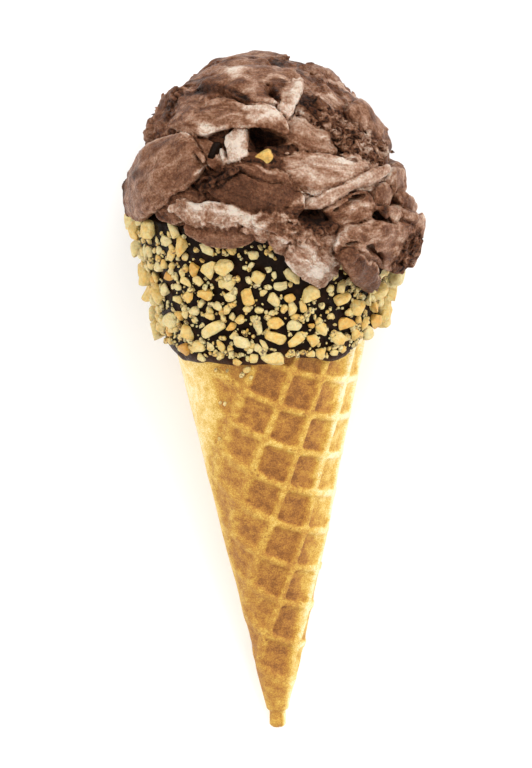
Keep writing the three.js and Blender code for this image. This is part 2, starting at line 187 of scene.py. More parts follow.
def wafer_wall():
    columns, rows = 322, 268
    turn = np.concatenate([[1.0], np.linspace(0, 1, columns - 1)])
    azimuth_row = FLAP_AZIMUTH + turn * (2 * math.pi - FLAP_EDGE)
    lip = 4.9
    nub_s = [0.0, 0.25, 0.8, 2.2, 3.6, 4.55, lip]
    nub_radius = [1.55, 1.95, NUB_RADIUS, 2.4, 2.36, 2.32, 2.4]
    wall_s = [*np.linspace(lip + 0.25, 121, rows), *np.linspace(126, CONE_HEIGHT, 5)]
    inner_s = [CONE_HEIGHT, 120.0, 60.0, 14.0]
    s_rows = np.array([*nub_s, *wall_s, *inner_s])
    outer = slice(len(nub_s), len(nub_s) + len(wall_s))
    inner_radius = cone_radius(np.array(inner_s)) - WALL
    radius_rows = np.array([*nub_radius, *cone_radius(s_rows[outer]), *inner_radius])
    radius_rows[len(nub_s)] -= 0.35
    s, azimuth = np.meshgrid(s_rows, azimuth_row, indexing="ij")
    radius = np.repeat(radius_rows[:, None], columns, axis=1)
    depth, centre, plain, spot, (i, j) = waffle_relief(s, azimuth)
    grows = np.clip((FLAP_TOP - s) / 12, 0, 1) * np.clip((s - NUB_HEIGHT) / 8, 0, 1)
    sink = FLAP_STEP * grows * turn**3
    bend = 0.4 * wobble(spot, 22, 4) + 0.12 * wobble(spot, 6, 5) + 0.05 * wobble(spot, 1.6, 6)
    bend = bend * (1 - ease(s, 108, 118)) * ease(s, 5, 20)
    dish = 0.18 * centre
    # The roll isn't quite round: it swells a little down its right side.
    fuller = 1.1 * np.exp(-(((azimuth - 1.55) / 0.55) ** 2))
    fuller *= ease(s, 8, 20) * (1 - ease(s, 55, 115))
    pits = PIT_DEPTH * depth * (1 - 0.6 * fuller)
    radius[outer] += (fuller - sink - pits - dish + bend)[outer]
    # The roll at the tip: the sheet's inner end shows as a crease down the nub.
    crease = np.exp(-(((azimuth - 0.45) / 0.22) ** 2)) * (s < lip)
    radius -= 0.5 * crease * (radius > 1)
    points = off_cone(radius, azimuth, s)
    # Both ends are closed by a fan, round the nub's tip and deep inside the cone.
    middle = [off_cone(np.array(0.0), np.array(0.0), np.array(h)) for h in (-0.12, inner_s[-1])]
    count = len(s_rows) * columns
    ring = np.arange(columns)
    after = (ring + 1) % columns
    last = count - columns
    fans = np.concatenate([
        np.stack([np.full(columns, count), after, ring], axis=-1),
        np.stack([np.full(columns, count + 1), last + ring, last + after], axis=-1),
    ])
    ridge_tops = (1 - ease(depth, 0.05, 0.5)) * (1 - plain) * ease(s, 14, 24)
    # Pits are browner than the ridges. Along their lower left walls they are darker still: partly
    # browning, partly painted shade.
    low_wall_brown_and_shade = ease(j - np.floor(j), 0.55, 0.9) * ease(depth, 0.2, 0.8)
    left_wall_brown_and_shade = (1 - ease(i - np.floor(i), 0.12, 0.4)) * ease(depth, 0.2, 0.8)
    toast = 0.56 + 0.2 * depth + 0.08 * centre + 0.12 * low_wall_brown_and_shade + 0.07 * left_wall_brown_and_shade
    toast += 0.06 * wobble(spot, 13, 7) + 0.05 * wobble(spot, 3.5, 8) - 0.11 * plain
    toast += 0.13 * (1 - ease(s, 30, 95)) * (1 - 0.7 * depth)
    # Painted light: the right side of the roll is paler where the light falls on it.
    toast -= (0.5 - 0.1 * depth) * ease(azimuth, 0.45, 1.15)
    toast -= 0.14 * ease(-azimuth, 0.7, 1.2) * ease(s, 60, 100)
    toast -= 0.04 * ease(-azimuth, 0.3, 0.7) * ease(s, 95, 104)
    toast -= 0.1 * np.exp(-((turn - 0.015) / 0.02) ** 2)
    toast += 0.18 * np.exp(-((turn / 0.004) ** 2)) * grows
    marks = {"toast": toast, "ridge": ridge_tops}
    marks = {name: np.append(values.ravel(), [0.3, 0.3]) for name, values in marks.items()}
    points = np.concatenate([points.reshape(-1, 3), middle])
    return points, [rings(len(s_rows), columns), fans], marks


def srgb(red, green, blue):
    """A colour named by its usual 0 to 255 values, as Blender's linear numbers."""
    line = [v / 255 for v in (red, green, blue)]
    line = [v / 12.92 if v <= 0.04045 else ((v + 0.055) / 1.055) ** 2.4 for v in line]
    return (*line, 1)


class Recipe:
    """A material's nodes, laid down one after another."""

    def __init__(self, name):
        self.material = bpy.data.materials.new(name)
        self.material.use_nodes = True
        self.tree = self.material.node_tree
        self.shader = self.tree.nodes["Principled BSDF"]

    def node(self, kind, inputs=(), **settings):
        node = self.tree.nodes.new(kind)
        for name, value in settings.items():
            setattr(node, name, value)
        for socket, value in dict(inputs).items():
            self.give(node.inputs[socket], value)
        return node

    def give(self, socket, value):
        if isinstance(value, bpy.types.NodeSocket):
            self.tree.links.new(value, socket)
        else:
            socket.default_value = value

    def mark(self, name, output="Fac"):
        return self.node("ShaderNodeAttribute", attribute_name=name).outputs[output]

    def place(self):
        return self.node("ShaderNodeTexCoord").outputs["Object"]

    def noise(self, way, per_metre, detail=2.0, rough=0.5, warp=0.0):
        settings = {"Vector": way, "Scale": per_metre, "Detail": detail}
        settings |= {"Roughness": rough, "Distortion": warp}
        return self.node("ShaderNodeTexNoise", settings).outputs["Fac"]

    def stretch(self, way, scale):
        return self.node("ShaderNodeMapping", {"Vector": way, "Scale": scale}).outputs[0]

    def cells(self, way, per_metre):
        settings = {"Vector": way, "Scale": per_metre}
        return self.node("ShaderNodeTexVoronoi", settings).outputs["Distance"]

    def reckon(self, operation, first, second):
        return self.node("ShaderNodeMath", {0: first, 1: second}, operation=operation).outputs[0]

    def add(self, first, second):
        return self.reckon("ADD", first, second)

    def less(self, first, second):
        return self.reckon("SUBTRACT", first, second)

    def times(self, first, second):
        return self.reckon("MULTIPLY", first, second)

    def vary(self, value, noise, swing, low=0.3, high=0.7):
        """The value, swung up and down by a noise."""
        return self.add(value, self.between(noise, low, high, -swing, swing))

    def between(self, value, low, high, from_=0.0, to=1.0):
        pairs = {"Value": value, "From Min": low, "From Max": high}
        pairs |= {"To Min": from_, "To Max": to}
        node = self.node("ShaderNodeMapRange", pairs, interpolation_type="SMOOTHSTEP")
        return node.outputs["Result"]

    def blend(self, share, first, second):
        pairs = {0: share, 6: first, 7: second}
        return self.node("ShaderNodeMix", pairs, data_type="RGBA").outputs[2]

    def ramp(self, value, stops):
        node = self.node("ShaderNodeValToRGB", {"Fac": value})
        points = node.color_ramp.elements
        while len(points) < len(stops):
            points.new(0.5)
        for point, (place, colour) in zip(points, stops):
            point.position = place
            point.color = colour
        return node.outputs["Color"]

    def bumps(self, *layers):
        """Layers of (height, strength, distance), the widest first."""
        normal = None
        for height, strength, distance in layers:
            pairs = {"Height": height, "Strength": strength, "Distance": distance}
            if normal is not None:
                pairs["Normal"] = normal
            normal = self.node("ShaderNodeBump", pairs).outputs["Normal"]
        self.give(self.shader.inputs["Normal"], normal)

    def set(self, **values):
        for name, value in values.items():
            self.give(self.shader.inputs[name.replace("_", " ")], value)


def baked_wafer():
    mix = Recipe("baked_wafer")
    here = mix.place()
    # The toast mark holds the bake's browning, with painted shade along the pits' lower left walls
    # and painted light down the right side.
    toast = mix.mark("toast")
    cloud = mix.noise(here, 420, 4, 0.62)
    grain = mix.noise(here, 2600, 3, 0.6)
    toast = mix.vary(toast, cloud, 0.12)
    toast = mix.vary(toast, grain, 0.14)
    # Tiny burst bubbles: short rows along the ridges, dark at their bottoms.
    bubble = mix.cells(here, 620)
    burst = mix.between(bubble, 0.16, 0.3, 1.0, 0.0)
    burst = mix.times(burst, mix.mark("ridge"))
    burst = mix.times(burst, mix.between(mix.noise(here, 160, 1), 0.5, 0.6))
    toast = mix.add(toast, mix.times(burst, 0.18))
    colour = mix.ramp(toast, [
        (0.05, srgb(243, 222, 182)),
        (0.25, srgb(231, 200, 126)),
        (0.45, srgb(208, 168, 73)),
        (0.64, srgb(182, 131, 49)),
        (0.8, srgb(163, 107, 41)),
        (1.0, srgb(122, 73, 24)),
    ])
    mix.set(Base_Color=colour, Roughness=0.62, Specular_IOR_Level=0.35)
    height = mix.less(mix.noise(here, 900, 4, 0.6), mix.times(burst, 0.9))
    mix.bumps((height, 0.6, 0.0006), (grain, 0.6, 0.0003))
    return mix.material


make_piece("rolled_waffle_cone", *wafer_wall(), baked_wafer(), "wafer", "waffle_cone")

# ---- the chocolate dip --------------------------------------------------------------
# Dark chocolate that the cone's rim was dipped in: about 2 mm thick, wavy along its lower
# edge where it ran, uneven over the nuts that it holds, and folded over the rim.
COAT_BOTTOM, COAT_THICK, COAT_WAVE = 116.5, 2.0, 1.3
COAT_RISE = 5.5  # how much higher its edge lies on the right side
AIR = 0.3  # between the solids of the wafer and the coat
DIP_RUN = 39.9  # from its lower edge to the rim, along the wafer


def coat_edge(azimuth):
    wave = COAT_WAVE * (np.sin(3 * azimuth + 1) + 0.6 * np.sin(7 * azimuth))
    drawn_up = COAT_RISE * np.exp(-(((np.abs(azimuth - 1.6)) / 0.62) ** 4))
    return COAT_BOTTOM + wave + drawn_up


def dip_ring():
    columns = 400
    azimuth_row = np.linspace(0, 2 * math.pi, columns, endpoint=False)
    ring = np.stack([9 * np.sin(azimuth_row), 9 * np.cos(azimuth_row)], axis=-1)
    ring = np.concatenate([ring, np.zeros((columns, 1))], axis=-1)
    edge = coat_edge(azimuth_row) + 0.7 * wobble(ring, 1.3, 21) - 0.3
    rim = CONE_HEIGHT + AIR + COAT_THICK
    up = np.concatenate([[0, 0.25, 0.7, 1.3, 2.1], np.linspace(3, 38.5, 62), [39.2, DIP_RUN]])
    share = up[:, None] / DIP_RUN
    s = edge + share * (rim - edge)
    azimuth = np.repeat(azimuth_row[None], len(up), axis=0)
    thick = AIR + COAT_THICK * np.sqrt(1 - (1 - np.clip((up + 0.15) / 3.0, 0, 1)) ** 2)[:, None]
    thick = np.repeat(thick, columns, axis=1)
    spot = off_cone(cone_radius(s), azimuth, s)
    lumps = 0.5 * wobble(spot, 7, 22) + 0.38 * wobble(spot, 2.6, 23) + 0.14 * wobble(spot, 1.1, 24)
    thick += (lumps - 0.15) * ease(up, 0.2, 3)[:, None]
    thick[-2:] -= np.array([[0.25], [0.9]])
    radius = cone_radius(s) + np.maximum(thick, 0.35)
    inner = cone_radius(CONE_HEIGHT) - WALL
    s_in = np.stack([np.full(columns, rim), np.full(columns, rim - 3.5), edge])
    radius_in = [np.full(columns, inner), np.full(columns, inner), cone_radius(edge) - 0.6]
    s = np.concatenate([s, s_in])
    radius = np.concatenate([radius, radius_in])
    azimuth = np.concatenate([azimuth, np.repeat(azimuth_row[None], 3, axis=0)])
    points = off_cone(radius, azimuth, s).reshape(-1, 3)
    points[:, 2] = np.maximum(points[:, 2], 0.2)  # pressed flat where it lies on the floor
    faces = rings(len(s), columns)
    last = (len(s) - 1) * columns
    ring = np.arange(columns)
    after = (ring + 1) % columns
    closing = np.stack([last + ring, last + after, after, ring], axis=-1)
    above_edge = np.repeat([*up, DIP_RUN, 30, 0], columns)
    return points, [faces, closing], {"near_edge": 1 - ease(above_edge, 0.5, 4)}


def dark_chocolate():
    mix = Recipe("dark_chocolate")
    here = mix.place()
    cloud = mix.noise(here, 260, 3, 0.55)
    colour = mix.ramp(cloud, [
        (0.3, srgb(13, 5, 1)), (0.55, srgb(24, 11, 4)), (0.75, srgb(46, 25, 12)),
    ])
    thin = mix.times(mix.mark("near_edge"), 0.5)
    colour = mix.blend(thin, colour, srgb(70, 38, 20))
    rough = mix.between(mix.noise(here, 900, 2), 0.3, 0.7, 0.24, 0.5)
    mix.set(Base_Color=colour, Roughness=rough, Specular_IOR_Level=0.05)
    mix.bumps((mix.noise(here, 700, 4, 0.6), 0.5, 0.0006))
    return mix.material


make_piece("chocolate_dip", *dip_ring(), dark_chocolate(), "nut_coat", "nut_coat")

# ---- the chopped peanuts ------------------------------------------------------------
# Roasted peanuts chopped into lumps of 2 to 7 mm with flat broken sides, pressed into the
# soft chocolate, and the crumbs that come with them.
# Places are read from above on a sheet ruled in steps of 0.29 mm, x to the right and y
# down from its upper left corner: x, y, length, width in steps, turn, how toasted.
STEP = 0.29
SHEET_TURN = math.radians(1.2)
SHEET_TIP = (278, 728)
DIP_RADIUS = 34  # on average, to turn azimuths into lengths
LUMP_TRIES, CRUMB_COUNT = 2200, 1300
SHOWN_ARC = 0.8  # the lumps within this azimuth are laid one by one
SHOWN_NUTS = [
    (152, 231, 21, 19, 80, 0.35), (175, 232, 17, 13, -30, 0.2), (168, 241, 14, 10, 0, 0.1),
    (183, 247, 18, 17, 60, 0.3), (172, 256, 15, 12, 80, 0.3), (140, 222, 13, 10, 70, 0.1),
    (131, 214, 12, 9, 80, 0.1), (130, 231, 13, 9, 75, 0.1), (134, 246, 12, 9, 60, 0.3),
    (147, 250, 14, 10, 75, 0.1), (160, 250, 11, 9, 20, 0.1), (140, 263, 13, 10, 70, 0.1),
    (160, 268, 16, 10, -10, 0.3), (155, 278, 11, 9, 0, 0.5), (170, 277, 15, 10, -5, 0.95),
    (195, 269, 16, 12, 45, 0.75), (209, 269, 19, 14, 75, 0.2), (225, 267, 20, 16, 25, 0.25),
    (207, 249, 16, 10, -20, 0.15), (233, 251, 10, 8, 0, 0.2), (253, 255, 11, 10, 0, 0.0),
    (251, 265, 8, 6, 60, 0.1), (259, 278, 15, 12, -25, 0.25), (292, 276, 18, 14, -60, 0.15),
    (311, 293, 21, 16, 70, 0.2), (228, 285, 17, 12, 0, 0.3), (248, 296, 19, 12, -70, 0.5),
    (274, 300, 14, 12, 80, 0.0), (207, 295, 15, 13, 30, 0.4), (190, 295, 16, 14, 60, 0.35),
    (178, 299, 12, 11, 0, 0.3), (167, 290, 14, 10, 80, 0.1), (153, 297, 16, 14, -20, 0.3),
    (160, 308, 14, 10, 10, 0.25), (172, 319, 19, 16, -50, 0.1), (188, 331, 17, 15, -20, 0.3),
    (214, 329, 29, 12, 25, 0.35), (160, 323, 14, 10, -35, 0.3), (170, 333, 11, 9, -30, 0.55),
    (186, 348, 17, 13, 45, 0.95), (200, 345, 15, 12, 10, 0.2), (202, 357, 9, 8, 0, 0.1),
    (241, 343, 18, 17, -60, 0.2), (240, 319, 10, 9, 20, 0.35), (259, 328, 14, 9, -60, 0.1),
    (264, 344, 12, 6, -50, 0.1), (276, 337, 19, 12, -35, 0.6), (295, 341, 19, 12, 35, 0.3),
    (277, 322, 18, 12, -10, 0.5), (294, 326, 14, 13, 20, 0.2), (292, 309, 15, 10, 80, 0.3),
    (302, 306, 12, 8, -60, 0.35), (290, 298, 12, 8, 10, 0.55), (281, 286, 14, 10, 0, 0.05),
    (311, 340, 15, 13, -40, 0.3), (321, 328, 14, 12, -30, 0.45), (338, 338, 16, 13, -40, 0.25),
    (273, 359, 22, 14, -5, 0.15), (254, 358, 10, 8, 80, 0.3), (319, 353, 11, 9, 70, 0.4),
    (310, 354, 9, 7, 0, 0.3), (238, 362, 9, 7, -20, 0.4), (340, 300, 19, 15, 30, 0.35),
    (340, 286, 14, 12, 70, 0.05), (355, 306, 18, 13, 60, 0.5), (367, 300, 18, 10, 70, 0.3),
    (345, 323, 18, 12, 0, 0.5), (363, 324, 14, 11, 70, 0.45), (348, 312, 10, 8, 0, 0.3),
    (330, 317, 8, 7, 0, 0.2), (322, 306, 7, 7, 0, 0.0), (268, 270, 7, 6, 0, 0.1),
    (245, 268, 6, 5, 0, 0.1), (231, 297, 12, 9, 20, 0.05), (218, 306, 11, 8, -30, 0.1),
    (229, 309, 10, 8, 40, 0.15), (210, 316, 10, 8, 0, 0.2), (196, 311, 12, 9, 30, 0.2),
    (202, 304, 9, 7, 50, 0.2), (247, 309, 9, 7, 0, 0.3), (222, 345, 12, 8, -60, 0.3),
    (212, 347, 8, 8, 0, 0.2), (252, 345, 8, 7, 0, 0.2), (258, 347, 9, 8, 20, 0.1),
    (301, 318, 8, 7, 0, 0.2), (333, 352, 9, 7, -20, 0.3), (342, 350, 9, 8, 40, 0.4),
    (187, 282, 15, 9, -30, 0.25), (199, 281, 12, 9, -20, 0.3), (178, 287, 10, 7, 0, 0.2),
    (183, 273, 10, 7, 60, 0.3), (152, 286, 11, 9, 80, 0.2), (187, 313, 10, 8, 60, 0.3),
    (222, 284, 10, 7, 80, 0.2), (232, 326, 11, 8, 60, 0.4), (268, 287, 8, 6, 0, 0.1),
    (263, 293, 9, 6, 10, 0.1), (274, 275, 9, 5, 80, 0.1), (234, 335, 9, 7, 10, 0.2),
]
SIDE_NUTS = [  # azimuth in degrees, height along the cone, half length, how toasted
    (84, 138, 4.6, 0.15), (90, 131, 4.4, 0.3), (82, 126, 3.9, 0.2), (92, 144, 4.2, 0.2),
    (86, 134, 3.4, 0.3), (93, 127, 3.0, 0.4), (79, 125, 2.9, 0.5), (88, 128, 2.6, 0.3),
    (95, 139, 2.8, 0.2), (86, 122.5, 3.2, 0.3), (84, 140, 2.4, 0.2), (-92, 152, 3.0, 0.1),
    (-95, 124, 2.8, 0.3), (-90, 145, 2.8, 0.2), (-97, 138, 2.9, 0.15), (-89, 131, 3.0, 0.3),
    (-98, 130, 2.6, 0.2), (-88, 120.5, 3.2, 0.4), (-99, 146, 2.4, 0.2), (98, 132, 2.8, 0.3),
]
FALLEN_CRUMBS = [  # on the bare wafer: x and y on the ruled sheet, half length
    (246, 371, 1.2), (240, 376, 0.9), (225, 372, 0.6), (217, 404, 0.6),
    (250, 379, 0.6), (222, 405, 0.7), (215, 440, 0.5), (213, 371, 0.7),
]


def off_ruled(x, y):
    """From steps on the ruled sheet to millimetres from the wafer's tip."""
    right, up = x - SHEET_TIP[0], SHEET_TIP[1] - y
    turned_x = right * math.cos(SHEET_TURN) + up * math.sin(SHEET_TURN)
    turned_y = up * math.cos(SHEET_TURN) - right * math.sin(SHEET_TURN)
    return STEP * turned_x, STEP * turned_y


def nut_spot(x, y):
    """Where the coat lies under a place on the ruled sheet: azimuth and height."""
    x, y = off_ruled(x, y)
    s = y
    for _ in range(12):
        radius = cone_radius(s) + AIR + COAT_THICK
        out = math.sqrt(max(radius**2 - x**2, 0))
        s = (y + out * math.sin(LIE)) / math.cos(LIE)
    return math.atan2(max(-radius, min(radius, x)), out), s


def round_ball(level):
    ball = bpy.data.meshes.new("ball")
    shape = bmesh.new()
    bmesh.ops.create_icosphere(shape, subdivisions=level, radius=1)
    shape.to_mesh(ball)
    shape.free()
    points = np.array([v.co[:] for v in ball.vertices])
    faces = np.array([f.vertices[:] for f in ball.polygons])
    bpy.data.meshes.remove(ball)
    return points, faces


def broken_lump(ball, draw, cuts):
    """A pebble with flat broken sides, of half length 1."""
    blunt = (np.abs(ball) ** 3).sum(axis=1) ** (-1 / 3)
    points = ball * blunt[:, None] * draw.uniform(0.9, 1.1, 3)
    points = points * (1 + 0.2 * wobble(points + draw.uniform(0, 40, 3), 0.8, 31))[:, None]
    for _ in range(cuts):
        side = draw.normal(size=3)
        side /= np.linalg.norm(side)
        beyond = points @ side - draw.uniform(0.5, 0.85)
        points = points - np.maximum(beyond, 0)[:, None] * side * 0.97
    points = points * (1 + 0.06 * wobble(points + draw.uniform(0, 40, 3), 0.3, 32))[:, None]
    return 1.12 * points / np.abs(points).max(axis=0)


def chopped(rows, draw):
    """One joined mesh of lumps at (azimuth, s, half sizes, turn, toast, sunk)."""
    points, corners, toast, grain, smear = [], [], [], [], []
    balls = [round_ball(level) for level in (1, 2, 3)]
    count = 0
    for azimuth, s, sizes, turn, toasted, sunk in rows:
        level = int(sizes[0] > 0.9) + int(sizes[0] > 1.9 and abs(azimuth) < 1.75)
        ball, faces = balls[level]
        lump = broken_lump(ball, draw, 4 + 3 * level) * sizes
        c, n = math.cos(turn), math.sin(turn)
        along, across = lump[:, 0] * c - lump[:, 1] * n, lump[:, 0] * n + lump[:, 1] * c
        radius = cone_radius(s) + AIR + COAT_THICK + sizes[2] * sunk
        around = off_cone(radius + lump[:, 2], azimuth + along / radius, s + across)
        if around[:, 2].min() < 0.4:
            continue  # it would lie under the floor
        points.append(around)
        corners.append(faces + count)
        shade = toasted + 0.1 * draw.normal() + 0.08 * (lump[:, 2] / sizes[2])
        toast.append(np.clip(shade + 0.16 * wobble(around, 1.6, 33), 0, 1))
        grain.append(around + draw.uniform(0, 30, 3))
        low = ease(-lump[:, 2] / sizes[2], 0.0, 0.9)
        smear.append(np.clip(0.15 + low + 0.9 * (sizes[0] < 1.3) * draw.uniform(), 0, 1))
        count += len(lump)
    marks = {"toast": np.concatenate(toast), "grain": np.concatenate(grain)}
    marks["smear"] = np.concatenate(smear)
    return np.concatenate(points), [np.concatenate(corners)], marks


def nut_rows():
    draw = np.random.default_rng(17)
    rows = []
    for x, y, long, wide, turn, toasted in SHOWN_NUTS:
        azimuth, s = nut_spot(x, y)
        half = STEP / 2 * np.array([long, wide])
        thick = 0.8 * half[1] * draw.uniform(0.85, 1.1)
        rows.append((azimuth, s, np.array([*half, thick]), math.radians(turn), toasted, 0.3))
    for azimuth, s, size, toasted in SIDE_NUTS:
        sizes = size * np.array([1.0, 0.85, 0.75])
        rows.append((math.radians(azimuth), s, sizes, draw.uniform(0, 3), toasted, 0.55))
    # The sides and the back carry the same mix, from the largest lumps to the smallest.
    for i in range(LUMP_TRIES):
        azimuth = draw.uniform(-math.pi, math.pi)
        s = COAT_BOTTOM + 2 + 37 * draw.uniform()
        size = 3.2 - 2.2 * math.sqrt(i / LUMP_TRIES)
        laid = abs(azimuth) < SHOWN_ARC and (size > 1.3 or i % 6)
        if laid or s < coat_edge(azimuth) + 1.5:
            continue
        far = [
            math.hypot((azimuth - a) * DIP_RADIUS, s - up) - 0.78 * half[0]
            for a, up, half, *_ in rows
        ]
        if min(far) < 1.05 * size:
            continue
        sizes = size * np.array([1.0, draw.uniform(0.7, 0.95), draw.uniform(0.6, 0.8)])
        rows.append((azimuth, s, sizes, draw.uniform(0, 6), draw.uniform(0.05, 0.5), 0.4))
    return rows


def crumb_rows(lumps):
    draw = np.random.default_rng(23)
    taken = np.array([(a * DIP_RADIUS, s) for a, s, *_ in lumps])
    reach = np.array([max(row[2][:2]) for row in lumps])
    rows = []
    while len(rows) < CRUMB_COUNT:
        azimuth = draw.uniform(-math.pi, math.pi)
        s = COAT_BOTTOM + 1.2 + 38 * draw.uniform() ** 1.1
        round_dip = azimuth * DIP_RADIUS
        bare = ease(math.hypot((round_dip - 1) / 12, (s - 143) / 8), 0.6, 1.2)
        if draw.uniform() > 0.2 + 0.8 * bare or s < coat_edge(azimuth) + 0.8:
            continue
        size = 0.35 + 0.95 * draw.uniform() ** 2
        near = np.hypot(taken[:, 0] - round_dip, taken[:, 1] - s) - 0.8 * reach
        if near.min() < 0.3 * size:
            continue
        sizes = size * np.array([1.0, draw.uniform(0.6, 1), draw.uniform(0.6, 0.9)])
        rows.append((azimuth, s, sizes, draw.uniform(0, 6), draw.uniform(0, 0.4), 0.25))
    for x, y, size in FALLEN_CRUMBS:
        azimuth, s = nut_spot(x, y)
        sizes = size * np.array([1.0, 0.8, 0.7])
        rows.append((azimuth, s, sizes, draw.uniform(0, 6), 0.25, -2.4 / size))
    return rows


def roasted_peanut():
    mix = Recipe("roasted_peanut")
    way = mix.mark("grain", "Vector")
    toast = mix.mark("toast")
    cloud = mix.noise(way, 0.7, 4, 0.62)
    fine = mix.noise(way, 2.6, 3, 0.6)
    toast = mix.vary(toast, cloud, 0.16)
    colour = mix.ramp(toast, [
        (0.0, srgb(216, 199, 145)),
        (0.25, srgb(216, 192, 126)),
        (0.5, srgb(214, 177, 96)),
        (0.75, srgb(211, 160, 70)),
        (1.0, srgb(198, 144, 60)),
    ])
    # Chocolate smeared over the smallest crumbs and into the corners of the rest.
    smear = mix.between(mix.noise(way, 1.1, 3, 0.6), 0.45, 0.62)
    smear = mix.times(smear, mix.mark("smear"))
    colour = mix.blend(smear, colour, srgb(70, 44, 20))
    mix.set(Base_Color=colour, Roughness=0.5, Subsurface_Weight=0.12, Subsurface_Scale=0.0012)
    mix.bumps((cloud, 0.8, 0.001), (fine, 0.6, 0.0003))
    return mix.material


peanut = roasted_peanut()
lumps = nut_rows()
lump_draw = np.random.default_rng(5)
make_piece("chopped_peanuts", *chopped(lumps, lump_draw), peanut, "nut_coat", "nut_coat")
crumbs = chopped(crumb_rows(lumps), lump_draw)
make_piece("peanut_crumbs", *crumbs, peanut, "nut_coat", "nut_coat")

# ---- the ice cream ------------------------------------------------------------------
# Chocolate ice cream with pale streaks, scraped from a tub and pressed on in folds that
# lap over one another: smooth where the scoop drew it, crumbly where it tore.
DOME = np.array([34.5, 33.0, 38.0])  # half lengths of the core
HEAP = np.array([0.5, 161.3, TIP_RISE + 161.3 * math.tan(LIE) - 1.6])  # its middle
# A fold drops this much towards its outline, is this thick there, runs this deep at its
# middle, and tips by this share across its width.
FOLD_EDGE, FOLD_THICK, FOLD_ROOT, FOLD_TIP = 1.1, 2.2, 9.0, 0.12
BLUNT = 2.667  # the power of a fold's oval outline: 2 would be an ellipse
LIMB = math.sqrt(3) / 2  # where a face turns over to the side of the heap

